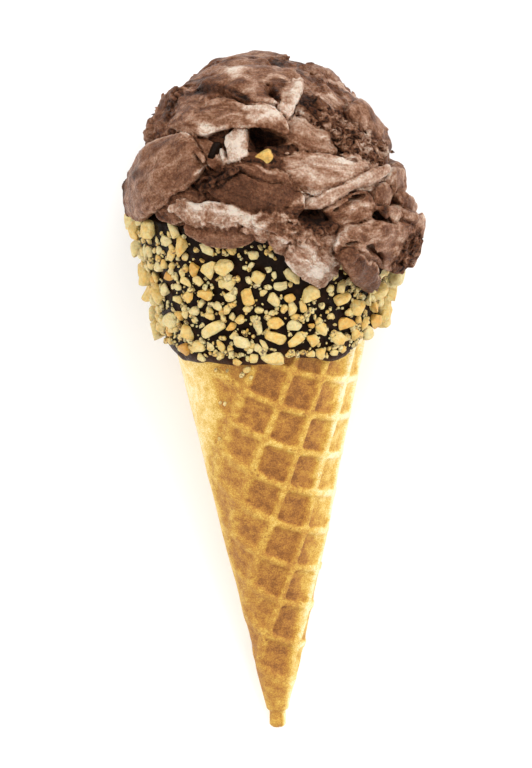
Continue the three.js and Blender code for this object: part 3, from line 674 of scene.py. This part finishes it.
# Each fold on a face: x, y, half length, half width, turn, bend, taper, height over the
# core, then its tone (0 dark, 1 white), how streaked and how torn it is.
Fold = namedtuple("Fold", "x y long wide turn bend taper lift tone streak torn")
FOLDS = {
    "top": [
        (-13.5, 25.8, 17, 9.4, 15, -25, 0, 3.4, 0.5, 0.3, 0),  # crown
        (-17, 24, 17, 5.2, 21, -34, 0, 4.2, 0.54, 0.4, 0),
        (-14.6, 27.4, 17, 4.4, 16, -32, 0, 3.8, 0.5, 0.4, 0),
        (-5, 26, 15.4, 8.2, 4, -25, 0, 6, 0.58, 0.5, 0.04),
        (6.9, 22, 7.2, 3.1, 71, 12, 0.1, 6.5, 0.88, 0.4, 0.2),  # its right lip
        (-12.4, 18.6, 19.6, 6.4, -5, -30, 0.5, 7.2, 0.57, 0.5, 0.1),  # curl
        (-31.2, 17.4, 9.2, 6.6, 78, 0, 0, 5.4, 0.5, 0.4, 0.38),
        (15.5, 23.6, 22.6, 7, -34, -28, 0, 0.4, 0.66, 0.7, 0.02),  # slope on the right
        (31, 15.2, 7.6, 4.6, -52, 0, 0, 3.4, 0.5, 0.4, 0.15),
        (12.4, 18.2, 6, 4.2, -15, 0, 0, 3.4, 0.45, 0.4, 0.8),  # torn rosette
        (20.5, 14.6, 6.4, 3.4, -26, 0, 0, 4, 0.52, 0.6, 0.6),
        (27.2, 8.6, 10.4, 5.2, -38, 0, 0, 4.6, 0.57, 0.8, 0.9),
        (11.7, 10.2, 10, 5, -16, 0, 0, 3.8, 0.66, 0.5, 0.12),
        (18, -0.8, 16.4, 7.2, -3, 0, 0.2, 5.2, 0.78, 0.5, 0.04),  # broad tan face
        (22.8, -5.4, 14.6, 2.4, 25, 0, 0, 7.2, 0.78, 0.4, 0),  # twisted ribbon
        (39.4, -5.8, 5.2, 3.2, 97, 0, 0, 8.2, 0.58, 0.4, 0.05),
        (34.5, -8.2, 3.9, 3, 70, 0, 0, 8.4, 0.54, 0.3, 0.15),
        (43.4, -12.4, 5.4, 2.6, -58, 0, 0, 10, 0.58, 0.4, 0.1),
        (37, -13.8, 2.9, 2.6, 0, 0, 0, 13, 0.6, 0.3, 0.1),
        (24.5, -12.4, 7.6, 4.6, 10, 0, 0, 8.2, 0.52, 0.5, 0.04),  # inner curl
        (33.8, -23.2, 13.8, 6.4, 4, 20, 0, 15, 0.56, 0.5, 0.1),  # lower right lump
        (42.8, -20, 7, 5.2, 66, 0, 0, 14, 0.58, 0.5, 0.2),
        (28, -30.8, 9.2, 4, -55, 0, 0, 16.2, 0.4, 0.1, 0.15),  # plank over it
        (13.8, -26.4, 9.4, 7, -44, 0, 0, 12, 0.78, 0.5, 0.22),  # pale drip
        (9.6, -20.8, 11, 5.2, -14, 0, 0, 11.2, 0.72, 0.5, 0.3),
        (14.2, -17.6, 7, 2.4, 4, 0, 0, 9.6, 0.4, 0.2, 0.8),  # crumbly shelf
        (32, -32.4, 5, 3.2, 18, 0, 0, 12, 0.4, 0.2, 0.95),
        (42.6, -26, 6.8, 4.2, 38, 0, 0, 16, 0.54, 0.5, 0.7),
        (-34.8, -1.3, 17, 8.8, 35, 0, 0, 9.6, 0.54, 0.34, 0.06),  # broad left cheek
        (-28.6, -8.8, 8, 5.2, -14, 0, 0, 8.4, 0.44, 0.3, 0.25),
        (-18.8, 5.4, 6.8, 4.4, -58, 0, 0, 6.6, 0.5, 0.2, 0.02),
        (-10, 7.2, 7, 4.3, 58, 0, 0, 6.4, 0.97, 0.3, 0.25),  # marshmallow
        (-1.6, -2, 12.4, 4.2, -17, -20, 0, 6.4, 0.52, 0.5, 0.12),
        (-15.4, -3.1, 7.8, 1.8, 20, 0, 0, 9.7, 0.38, 0.2, 0.95),
        (-5.8, -7.4, 16.8, 5, -15, 0, -0.4, 9.2, 0.35, 0.06, 0.3),  # matt smear
        (-9.6, -14.6, 20.4, 4.9, -8, 8, -0.35, 10.2, 0.86, 0.6, 0.3),  # frothy band
        (-14, -18.9, 11.4, 3.7, -13, 34, 0, 10.1, 0.47, 0.06, 0),  # smooth lower lip
    ],
    "end": [
        (8, -1, 15, 10, 12, -20, 0, 1.8, 0.5, 0.5, 0.06),
        (-20, 6, 15, 8, 62, 20, 0, 0.2, 0.46, 0.5, 0.1),
        (21, 7, 14, 8, -62, -20, 0, 1, 0.5, 0.4, 0.1),
        (2, -18, 18, 8, 8, 15, 0, 2.8, 0.56, 0.7, 0.1),
    ],
    "left": [
        (-14, -3, 15, 8, 80, 10, 0, 1.6, 0.46, 0.4, 0.2),
        (3, -15, 14, 7, 78, 0, 0, 6, 0.5, 0.5, 0.1),
        (-17, -21, 12, 7, 20, 0, 0, 2.8, 0.42, 0.3, 0.6),
    ],
    "right": [
        (6, -5, 15, 9, 98, 0, 0, 0.7, 0.5, 0.5, 0.2),
        (-4, -17, 14, 7, 100, 0, 0, 6.4, 0.46, 0.4, 0.15),
        (16, -21, 12, 7, -18, 0, 0, 2.8, 0.56, 0.7, 0.2),
    ],
    "under": [
        (0, 8, 20, 12, 10, 0, 0, 5.6, 0.5, 0.4, 0.1),
        (24, 13, 14, 8, -60, -20, 0, 4.8, 0.46, 0.3, 0.3),
        (-24, 13, 14, 8, 58, -20, 0, 4.6, 0.5, 0.5, 0.1),
        (0, -8, 18, 7, 5, 15, 0, 6.4, 0.44, 0.3, 0.2),
    ],
}
FACES = {  # which ways a face's right, up and out run
    "top": ((1, 0, 0), (0, 1, 0), (0, 0, 1)),
    "end": ((-1, 0, 0), (0, 0, 1), (0, 1, 0)),
    "left": ((0, -1, 0), (0, 0, 1), (-1, 0, 0)),
    "right": ((0, 1, 0), (0, 0, 1), (1, 0, 0)),
    "under": ((-1, 0, 0), (0, 1, 0), (0, 0, -1)),
}
# Hollows that open between the folds: x, y, half sizes, turn, height of the mouth, depth.
Hollow = namedtuple("Hollow", "x y long wide turn mouth deep")
HOLLOWS = [
    (-2.4, 9.2, 4.6, 3, -60, 4, 11),
    (1.4, 8.8, 4, 2.6, 10, 4, 9),
    (13.1, -13.9, 4.8, 2.1, 8, 8, 11),
    (32.5, -14, 3.4, 1.8, 65, 9, 9),
    (25, -9.6, 4.6, 0.9, 18, 8, 6),
    (6.9, 17.8, 3.4, 0.9, 85, 3, 6),
    (-9, 21.6, 8, 0.6, -25, 7, 4),
    (2.6, 23.4, 2.6, 0.6, -40, 6, 3),
    (0.9, 26.2, 1.8, 0.6, -30, 6, 3),
    (3.1, 20.8, 2.2, 0.7, -55, 6, 3),
    (-12.4, 5.6, 4.6, 0.5, -60, 6, 4),
    (21, 5.2, 5, 0.8, -30, 6, 4),
    (-20.6, 3.6, 5.4, 0.45, -62, 9, 4),
    (-16.5, -2, 8, 0.5, 24, 9, 3),
    (24.6, -20.4, 5, 0.6, 10, 13, 3),
    (30.4, -24.6, 4, 0.7, -60, 14, 4),
]
# Pale and dark patches seen from above: x, y, half sizes, turn, tone. The dark patches laid over
# the hollows and creases are painted shade.
PATCHES = [
    (1, 16.4, 9, 3.4, -14, 0.91), (-15.4, 13.6, 5.6, 2, 3, 0.88),
    (6.7, 22, 6.4, 2, 72, 0.94), (-8.9, 28, 4.2, 2.4, -10, 0.84),
    (-12, 4.2, 4.4, 1.6, -20, 0.95), (9.3, 13, 6, 2.6, -10, 0.8),
    (12.8, -7.2, 7, 1.8, 20, 0.9), (22.3, 2, 4.4, 2.6, 0, 0.84),
    (10.8, -11.8, 0.8, 2.4, 15, 0.8), (34, -2.4, 4, 1.2, 40, 0.82),
    (-23, -11, 3.6, 1.6, 20, 0.9), (-12.5, -13.4, 5, 2, -10, 0.9),
    (-4.4, -15.6, 4, 1.6, -20, 0.88), (12.8, -27, 5.4, 4, -40, 0.92),
    (17.6, -20.4, 3.6, 1.8, -60, 0.9), (3, -20, 3.4, 1.5, -30, 0.84),
    (36.6, -13.6, 1.8, 1.5, 0, 0.88), (44, -12.5, 4.4, 0.9, -60, 0.8),
    (25.6, 25.4, 3.4, 1, -32, 0.95), (-19, 0.9, 2.6, 0.5, 30, 0.95),
    (24.6, -11.2, 1.6, 1.8, 10, 0.86), (28.9, -27.2, 5.6, 0.5, -56, 0.8),
    (-1.8, 0.6, 4, 0.8, -20, 0.8), (17.6, 16.4, 3, 0.8, -20, 0.8),
    (-7, 21.6, 7, 1, -28, 0.26), (2.6, 22.8, 3, 1.6, -60, 0.28),
    (-38.6, 0, 2.4, 1.6, 20, 0.32), (-15, -2.6, 8, 1.2, 22, 0.22),
    (-17, 23.6, 7, 0.8, 4, 0.32), (-1, 9, 5.4, 4, -10, 0.14),
    (14, -13.8, 6, 3, 10, 0.14), (32.4, -13.6, 3.6, 2.2, 60, 0.14),
    (12, 18.2, 2.8, 2.4, 0, 0.3), (22.4, 14.2, 4, 0.9, -35, 0.78),
    (29.6, 12.2, 3.4, 0.8, -60, 0.74), (33.6, 5.4, 3, 0.8, -50, 0.72),
    (26.8, 6.2, 3, 0.7, -20, 0.74), (19, 20, 3.4, 0.7, -30, 0.74),
    (38.6, -21.4, 2, 1.6, 30, 0.78), (31.4, -20.4, 4, 0.8, 6, 0.7),
    (27, -11, 4.6, 0.5, 20, 0.78), (21, 26, 7, 2.2, -32, 0.76),
    (29.4, 19.4, 5, 1.8, -44, 0.72), (-23.4, 10.6, 4.4, 1, -4, 0.72),
]


def face_axes(face, lift):
    """A face's right, up and out, and how far it reaches to the right and up."""
    right, up, out = (np.array(axis, dtype=float) for axis in FACES[face])
    return right, up, out, np.abs(DOME @ right) + lift, np.abs(DOME @ up) + lift


def unfold(points, face, lift):
    """Where points from the heap's middle lie on a face: x, y and height over the core."""
    right, up, out, broad, tall = face_axes(face, lift)
    height = np.full(len(points), float(lift))
    length = np.linalg.norm(points, axis=1) + 1e-9
    for _ in range(3):
        way = points / (DOME + height[:, None])
        reach = np.linalg.norm(way, axis=1) + 1e-9
        height = np.maximum(height + (reach - 1) * length / reach, -25)
    way = way / reach[:, None]
    a, b, c = way @ right, way @ up, way @ out
    polar = np.arccos(np.clip(c, -1, 1))
    steep = math.asin(LIMB)
    reach = np.where(polar < steep, np.sin(polar), LIMB + (polar - steep) / 2)
    scale = reach / np.maximum(np.hypot(a, b), 1e-6)
    return a * scale * broad, b * scale * tall, height


def along_across(x, y, fold_x, fold_y, turn, bend=0, long=0):
    """Along and across a fold, with its turn and bend taken out."""
    turn = math.radians(turn)
    dx, dy = x - fold_x, y - fold_y
    u = dx * math.cos(turn) + dy * math.sin(turn)
    v = dy * math.cos(turn) - dx * math.sin(turn)
    if bend:
        radius = long / math.radians(bend)
        sign = math.copysign(1, radius)
        u, v = (
            radius * np.arctan2(u * sign, (radius - v) * sign),
            radius - sign * np.hypot(u, radius - v),
        )
    return u, v


def outline(u, v, long, wide):
    """How far outside a blunt oval a place lies, and its share of the way to the edge."""
    a, b = np.abs(u / long), np.abs(v / wide)
    share = (a**BLUNT + b**BLUNT) ** (1 / BLUNT) + 1e-6
    slope = np.hypot(a ** (BLUNT - 1) / long, b ** (BLUNT - 1) / wide) / share ** (BLUNT - 1)
    return (share - 1) / np.maximum(slope, 1e-3), share


def rounded(first, second, radius):
    """Inside both, with a rounded corner where they meet."""
    a, b = first + radius, second + radius
    return np.minimum(np.maximum(a, b), 0) + np.hypot(np.maximum(a, 0), np.maximum(b, 0)) - radius


def crumble(points, size, seed):
    """Rounded lumps with sharp clefts between them, from 0 in a cleft upwards."""
    return np.abs(wobble(points, size, seed)) + 0.5 * np.abs(wobble(points, size / 2, seed + 1))


def fold_distance(points, face, fold, seed):
    """Signed distance to a fold and to its outline, with the place along and across it."""
    lift, torn = fold.lift, fold.torn
    x, y, height = unfold(points, face, lift)
    along, across = along_across(x, y, fold.x, fold.y, fold.turn, fold.bend, fold.long)
    width = np.clip(1 - fold.taper * along / fold.long, 0.5, 1.5)
    side, share = outline(along, across / width, fold.long, fold.wide)
    sag = FOLD_EDGE * np.minimum(share, 1.2) ** 3
    top = lift - sag - FOLD_TIP * across
    deep = FOLD_ROOT * np.sqrt(np.clip(1 - share**2, 0, 1))
    bottom = lift - FOLD_EDGE - FOLD_THICK - FOLD_TIP * across - deep
    near = np.abs(np.maximum(np.maximum(height - top, side), bottom - height)) < 3
    cleft = np.zeros(len(points))
    spots = points[near] + np.array([37.0, 11.0, 5.0]) * seed
    a, b, h = along[near], across[near], height[near]
    side[near] += (0.4 + 0.5 * torn) * wobble(spots, 2.4, 42)
    edge = np.exp(-(((side[near] + 0.8) / 1.3) ** 2))
    drawn = np.stack([a / 17, b / 1.9, h / 5], axis=-1) + spots[:, :1] * 0.01
    relief = (1 - 0.7 * torn) * (0.42 * wobble(drawn, 1, 43) + 0.16 * wobble(drawn, 0.45, 44))
    relief += 0.4 * wobble(spots, 8, 45)
    rough = np.maximum(torn * (0.55 + 0.9 * ease(wobble(spots, 6, 46), -0.4, 0.3)), 0.3 * edge)
    lumps = crumble(spots, 1.9, 47)
    relief += rough * (2.6 * lumps - 1.25)
    # How deep a place lies in a cleft between crumbs, for the painted shade in the clefts.
    cleft[near] = np.minimum(rough, 1) * (1 - ease(lumps, 0.05, 0.45))
    top[near] += relief
    body = rounded(height - top, side, 0.5)
    return rounded(body, bottom - height, 0.6), side, along, across, height, cleft


HEAP_STEP = 0.52
FILL_UNDER = 2.3  # how far the cream between the folds lies below their tops
heap_folds = [(face, Fold(*row)) for face, rows in FOLDS.items() for row in rows]


def middle_of(face, x, y, lift):
    """Where the middle of a fold or hollow lies, seen from the heap's middle."""
    right, up, out, broad, tall = face_axes(face, lift)
    u, v = x / broad, y / tall
    reach = math.hypot(u, v)
    polar = math.asin(min(reach, LIMB)) + 2 * max(reach - LIMB, 0)
    flat = math.sin(polar) / reach if reach else 1
    way = u * flat * right + v * flat * up + math.cos(polar) * out
    return (DOME + lift) * way


def fold_reach(fold):
    """How far from its middle a fold still counts."""
    return math.hypot(fold.long, fold.wide) + 6


def egg_distance(points):
    k0 = np.linalg.norm(points / DOME, axis=-1) + 1e-6
    k1 = np.linalg.norm(points / DOME**2, axis=-1) + 1e-6
    return k0 * (k0 - 1) / k1


def plug_distance(points):
    """The plug that fills the cone's mouth."""
    radius, _, s = round_cone(points + HEAP)
    wall = radius - np.minimum(cone_radius(s), 36.7) + 0.6
    return np.maximum(wall, np.maximum(140 - s, s - 164))


def swell(points):
    """How high the folds round a place lie over the core."""
    high, total = 0, 0.15
    for face, fold in heap_folds:
        middle = middle_of(face, fold.x, fold.y, fold.lift)
        far = np.linalg.norm(points - middle, axis=-1)
        weight = np.exp(-0.5 * (far / (0.62 * fold.long + 1)) ** 2)
        high, total = high + weight * fold.lift, total + weight
    return high / total


def warp(points):
    """Pulls every outline out of true, as soft ice cream is pulled."""
    pull = [1.6 * wobble(points, 9, 61 + k) + 0.7 * wobble(points, 3.6, 71 + k) for k in range(3)]
    return np.stack(pull, axis=-1)


def cup_distance(points):
    """The wafer and its coat, which the ice cream sits in."""
    radius, _, s = round_cone(points + HEAP)
    outside = cone_radius(s) + AIR + COAT_THICK - 0.4
    inside = cone_radius(s) - WALL
    above = s - CONE_HEIGHT - AIR - COAT_THICK + 0.4
    return np.maximum(np.maximum(radius - outside, inside - radius), above)


def hollow_distance(points, hollow):
    x, y, height = unfold(points, "top", hollow.mouth)
    u, v = along_across(x, y, hollow.x, hollow.y, hollow.turn)
    over = height - hollow.mouth
    over = np.where(over > 0, over / 3, over / hollow.deep)
    share = np.sqrt((u / hollow.long) ** 2 + (v / hollow.wide) ** 2 + over**2)
    return (share - 1) * hollow.wide


def enlarge(field, times, count):
    """A coarse grid of values, drawn out to a fine one."""
    for axis in range(3):
        place = np.arange(count[axis]) / times
        first = place.astype(int)
        share = (place - first).reshape([-1 if k == axis else 1 for k in range(3)])
        before = np.take(field, first, axis=axis)
        field = before + share * (np.take(field, first + 1, axis=axis) - before)
    return field.astype(np.float32)


def heap_grid():
    low = np.array([-47.0, -41.0, -HEAP[2] - 2])
    high = np.array([47.5, 37.5, 47.5])
    count = np.ceil((high - low) / HEAP_STEP).astype(int)
    times = 3
    axes = [low[k] + HEAP_STEP * np.arange(count[k]) for k in range(3)]
    rough_axes = [low[k] + HEAP_STEP * times * np.arange(count[k] // times + 2) for k in range(3)]
    rough = np.stack(np.meshgrid(*rough_axes, indexing="ij"), axis=-1)
    pull = warp(rough)
    pulled = np.stack([enlarge(pull[..., k], times, count) for k in range(3)], axis=-1)
    for k in range(3):
        pulled[..., k] += axes[k].reshape([-1 if k == axis else 1 for axis in range(3)])
    fill = enlarge(egg_distance(rough + pull) - swell(rough + pull), times, count) + FILL_UNDER
    core = enlarge(np.minimum(egg_distance(rough), plug_distance(rough)), times, count)
    cover = np.full(count, 9, dtype=np.float32)
    nearest = np.full(count, 9, dtype=np.float32)
    second = np.full(count, 9, dtype=np.float32)

    def box(middle, reach):
        first = np.maximum(np.floor((middle - reach - low) / HEAP_STEP).astype(int), 0)
        last = np.minimum(np.ceil((middle + reach - low) / HEAP_STEP).astype(int), count)
        return tuple(slice(a, b) for a, b in zip(first, last))

    def lay(part, far):
        second[part] = np.minimum(second[part], np.maximum(nearest[part], far))
        nearest[part] = np.minimum(nearest[part], far)

    for number, (face, fold) in enumerate(heap_folds):
        part = box(middle_of(face, fold.x, fold.y, fold.lift), fold_reach(fold))
        spots = pulled[part].reshape(-1, 3)
        close = np.linalg.norm(spots / (DOME + 19), axis=1) < 1
        close &= np.linalg.norm(spots / (DOME - 12), axis=1) > 1
        far, side = np.full((2, len(spots)), 9, dtype=np.float32)
        far[close], side[close] = fold_distance(spots[close], face, fold, number)[:2]
        lay(part, far.reshape(nearest[part].shape))
        cover[part] = np.minimum(cover[part], side.reshape(nearest[part].shape))
    skirt = ease(axes[1], -17, -9)[None, :, None] + ease(-axes[2], -4, 6)[None, None, :]
    lay(slice(None), np.maximum(fill, cover - 5 * np.minimum(skirt, 1)))
    lay(slice(None), core)
    # Where two folds meet the seam stays open and crumbly.
    skin = np.abs(nearest) < 2.5
    spots = pulled[skin]
    seam = np.exp(-(second[skin] - nearest[skin]) / 0.6)
    nearest[skin] += seam * (1.9 - 2.2 * crumble(spots, 1.7, 52))
    for hollow in [Hollow(*row) for row in HOLLOWS]:
        middle = middle_of("top", hollow.x, hollow.y, hollow.mouth)
        part = box(middle, max(hollow.long, hollow.deep) + 4)
        spots = pulled[part].reshape(-1, 3)
        hole = hollow_distance(spots, hollow) + 0.5 * wobble(spots, 2.4, 54)
        nearest[part] = np.maximum(nearest[part], -hole.reshape(nearest[part].shape))
    plain = np.stack(np.meshgrid(*axes, indexing="ij"), axis=-1)
    cut = np.maximum(-cup_distance(plain), -(plain[..., 2] + HEAP[2]))
    return np.maximum(nearest, cut), low


def main_body(points, faces):
    """The faces of the largest connected body alone, so that no scrap floats."""
    label = np.arange(len(points))
    corners = faces.shape[1]
    sides = np.concatenate([faces[:, [k, (k + 1) % corners]] for k in range(corners)])
    while True:
        least = np.minimum(label[sides[:, 0]], label[sides[:, 1]])
        fresh = label.copy()
        np.minimum.at(fresh, sides[:, 0], least)
        np.minimum.at(fresh, sides[:, 1], least)
        fresh = fresh[fresh]
        if np.array_equal(fresh, label):
            break
        label = fresh
    biggest = np.bincount(label).argmax()
    keep = label == biggest
    renumber = np.cumsum(keep) - 1
    return points[keep], renumber[faces[keep[faces[:, 0]]]]


def heap_marks(points):
    """For each point of the skin its tone, streaks, tears, and the way its fold was drawn."""
    pulled = points + warp(points)
    nearest = np.minimum(egg_distance(pulled) - swell(pulled) + FILL_UNDER, plug_distance(points))
    weight = np.exp(-np.clip(nearest, -4, 4) / 0.4)
    tone, streak, torn = weight * 0.34, weight * 0.3, weight * 0.8
    total = weight.copy()
    second = np.full(len(points), 9.0)
    rim = np.zeros(len(points))
    clefts = np.zeros(len(points))
    way = pulled * 0.2
    for number, (face, fold) in enumerate(heap_folds):
        middle = middle_of(face, fold.x, fold.y, fold.lift)
        near = np.nonzero(np.linalg.norm(points - middle, axis=1) < fold_reach(fold))[0]
        far, side, along, across, height, cleft = fold_distance(pulled[near], face, fold, number)
        share = np.exp(-np.clip(far, -4, 4) / 0.4)
        total[near] += share
        tone[near] += share * fold.tone
        streak[near] += share * fold.streak
        torn[near] += share * fold.torn
        pick = far < nearest[near]
        own = near[pick]
        second[near] = np.where(pick, nearest[near], np.minimum(second[near], far))
        nearest[own] = far[pick]
        clefts[own] = cleft[pick]
        rim[own] = np.exp(-(((side[pick] + 0.3) / 0.7) ** 2)) * (1 - fold.torn)
        shift = np.array([3.1, 1.7, 2.3]) * number
        way[own] = np.stack([along / 8, across / 4, height / 4], axis=-1)[pick] + shift
    tone, streak, torn = tone / total, streak / total, torn / total
    shown = ease(points[:, 2], -4, 6)
    ragged = 0.35 * wobble(points, 3.1, 81) + 0.25 * wobble(points, 1.3, 82)
    for x, y, long, wide, turn, goal in PATCHES:
        u, v = along_across(pulled[:, 0], pulled[:, 1], x, y, turn)
        inside = 1 - ease(np.hypot(u / long, v / wide) + ragged, 0.35, 1.3)
        tone += (goal - tone) * inside * shown
    # Painted light in the tone: painted shade along the seams where folds meet and in the clefts
    # of torn cream, and a painted highlight along each fold's rounded edge.
    seam = np.exp(-np.maximum(second - nearest, 0) / 0.5)
    tone += 0.12 * rim * (1 - seam) - 0.3 * seam - 0.32 * clefts
    return np.clip(tone, 0, 1), streak, torn, way


def frozen_chocolate():
    mix = Recipe("frozen_chocolate_cream")
    here = mix.place()
    way = mix.mark("way", "Vector")
    # The tone mark carries painted shade in the seams, clefts and hollows, and painted highlights
    # along the folds' edges.
    tone = mix.mark("tone")
    streaked = mix.mark("streak")
    torn = mix.mark("torn")
    # Pale cream was drawn out with the folds: broad clouds of it, and thin lines.
    long = mix.stretch(way, (0.35, 1.2, 1.2))
    thin = mix.stretch(way, (0.12, 2.2, 1.6))
    marble = mix.noise(way, 1.1, 4, 0.55, 0.7)
    lines = mix.noise(long, 2.2, 3, 0.5, 0.4)
    wide = mix.noise(here, 170, 4, 0.55, 0.5)
    swing = mix.between(marble, 0.38, 0.62, -0.15, 0.15)
    swing = mix.vary(swing, wide, 0.13, 0.38, 0.62)
    swing = mix.vary(swing, lines, 0.08, 0.38, 0.62)
    tone = mix.add(tone, mix.times(swing, mix.add(streaked, 0.2)))
    fine = mix.noise(here, 1500, 4, 0.65)
    tone = mix.vary(tone, fine, 0.11)
    flecks = mix.noise(here, 520, 3, 0.6)
    tone = mix.vary(tone, flecks, 0.04)
    # Where it tore, small air holes show darker: painted shade in the holes.
    shaded_holes = mix.between(mix.noise(here, 620, 3, 0.55), 0.38, 0.48, 1.0, 0.0)
    shaded_holes = mix.times(shaded_holes, mix.between(torn, 0.15, 0.8))
    tone = mix.less(tone, mix.times(shaded_holes, 0.34))
    colour = mix.ramp(tone, [
        (0.0, srgb(33, 16, 7)),
        (0.2, srgb(69, 39, 22)),
        (0.4, srgb(101, 62, 40)),
        (0.54, srgb(130, 89, 64)),
        (0.7, srgb(162, 125, 102)),
        (0.85, srgb(191, 161, 140)),
        (1.0, srgb(217, 199, 182)),
    ])
    rough = mix.between(torn, 0.1, 0.8, 0.42, 0.72)
    mix.set(Base_Color=colour, Roughness=rough, Specular_IOR_Level=0.14)
    mix.set(Subsurface_Weight=0.1, Subsurface_Scale=0.0015)
    lumps = mix.noise(here, 1100, 4, 0.6)
    lumps = mix.times(lumps, mix.between(torn, 0.0, 0.9, 0.35, 1.0))
    lumps = mix.less(lumps, mix.times(shaded_holes, 0.8))
    # Fine ridges that run the way a fold was drawn.
    drawn = mix.noise(thin, 2.6, 3, 0.55)
    mix.bumps(
        (lumps, 1.0, 0.0013), (drawn, 0.6, 0.0014), (flecks, 0.9, 0.0007), (fine, 0.9, 0.0005)
    )
    return mix.material


def heap_skin():
    nearest, low = heap_grid()
    grid = openvdb.FloatGrid(background=3.0)
    grid.copyFromArray(np.clip(nearest, -3, 3))
    grid.transform = openvdb.createLinearTransform(voxelSize=HEAP_STEP)
    points, _, quads = grid.convertToPolygons(isovalue=0.0, adaptivity=0.0)
    points = points.astype(np.float64) + low
    points, quads = main_body(points, quads.astype(np.int64))
    a, b, c = points[quads[:, 0]], points[quads[:, 1]], points[quads[:, 2]]
    if np.einsum("ij,ij->i", a, np.cross(b, c)).sum() < 0:
        quads = quads[:, ::-1]
    return points, quads


skin, quads = heap_skin()
tone, streak, torn, way = heap_marks(skin)
marks = {"tone": tone, "streak": streak, "torn": torn, "way": way}
cream = frozen_chocolate()
make_piece(
    "ice_cream_folds", skin + HEAP, [quads], marks, cream, slot="ice_cream", node="ice_cream"
)

# ---- caught in the folds ------------------------------------------------------------
# A bit of chopped peanut and a shard of chocolate that were scooped up with the ice cream
# and lie half sunk between two folds.


def caught(name, x, y, sizes, turn, deep, material, seed):
    over = np.hypot(skin[:, 0] - x, skin[:, 1] - y) < 1.2
    draw = np.random.default_rng(seed)
    ball, faces = round_ball(3)
    lump = broken_lump(ball, draw, 7) * sizes
    c, n = math.cos(math.radians(turn)), math.sin(math.radians(turn))
    points = lump @ np.array([(c, n, 0), (-n, c, 0), (0, 0, 1)])
    points = points + HEAP + (x, y, skin[over, 2].max() - deep)
    even = np.ones(len(points))
    marks = {"toast": 0.6 * even, "grain": points, "near_edge": 0 * even, "smear": 0.3 * even}
    make_piece(name, points, [faces], marks, material, "nut_coat", "ice_cream")


caught("caught_peanut", -0.9, 3.7, (2.4, 1.9, 1.6), 35, 0.8, peanut, 3)
caught("dark_chip", -15.4, 5.6, (2.9, 1.5, 1.2), 68, 0.9, bpy.data.materials["dark_chocolate"], 4)

# ---- floor, light and camera --------------------------------------------------------
# A plain white floor under a large soft light from the upper right, with a weak fill, and
# a long lens that looks straight down.
floor_mesh = bpy.data.meshes.new("floor")
floor_corners = [(-3, -3, 0), (3, -3, 0), (3, 3, 0), (-3, 3, 0)]
floor_mesh.from_pydata(floor_corners, [], [(0, 1, 2, 3)])
floor = put("floor", floor_mesh)
paper = Recipe("white_floor")
paper.set(Base_Color=(0.98, 0.98, 0.98, 1), Roughness=0.9)
floor_mesh.materials.append(paper.material)


def soft_light(name, place, size, watts):
    lamp = bpy.data.lights.new(name, "AREA")
    lamp.shape = "DISK"
    lamp.size = size
    lamp.energy = watts
    light = put(name, lamp)
    light.location = place
    light.rotation_euler = (-light.location).to_track_quat("-Z", "Y").to_euler()


soft_light("key", (0.5, 0.7, 1.2), 0.9, 10.5)
soft_light("left_fill", (-0.9, 0.1, 0.9), 0.9, 5)
soft_light("front_fill", (0.1, -0.9, 0.8), 0.6, 2)
soft_light("right_rim", (1.1, 0.1, 0.24), 0.4, 3)
world = bpy.data.worlds.new("studio")
world.use_nodes = True
sky = world.node_tree.nodes["Background"].inputs
sky["Color"].default_value = (1, 1, 1, 1)
sky["Strength"].default_value = 0.9
bpy.context.scene.world = world
bpy.context.scene.view_settings.view_transform = "Standard"

SHEET_SIZE = (532, 768)
CAMERA_HEIGHT = 6.5
SENSOR = 36
MIDDLE_HEIGHT = 0.04  # the height at which a step of the sheet is true
eye = off_ruled(SHEET_SIZE[0] / 2, SHEET_SIZE[1] / 2)
lens = bpy.data.cameras.new("view")
lens.sensor_fit = "AUTO"
lens.sensor_width = SENSOR
lens.lens = SENSOR * (CAMERA_HEIGHT - MIDDLE_HEIGHT) / (SHEET_SIZE[1] * STEP / 1000)
lens.clip_end = 20
camera = put("view", lens)
camera.location = (*((e + tip) / 1000 for e, tip in zip(eye, TIP_PLACE)), CAMERA_HEIGHT)
camera.rotation_euler = (0, 0, -SHEET_TURN)
bpy.context.scene.camera = camera
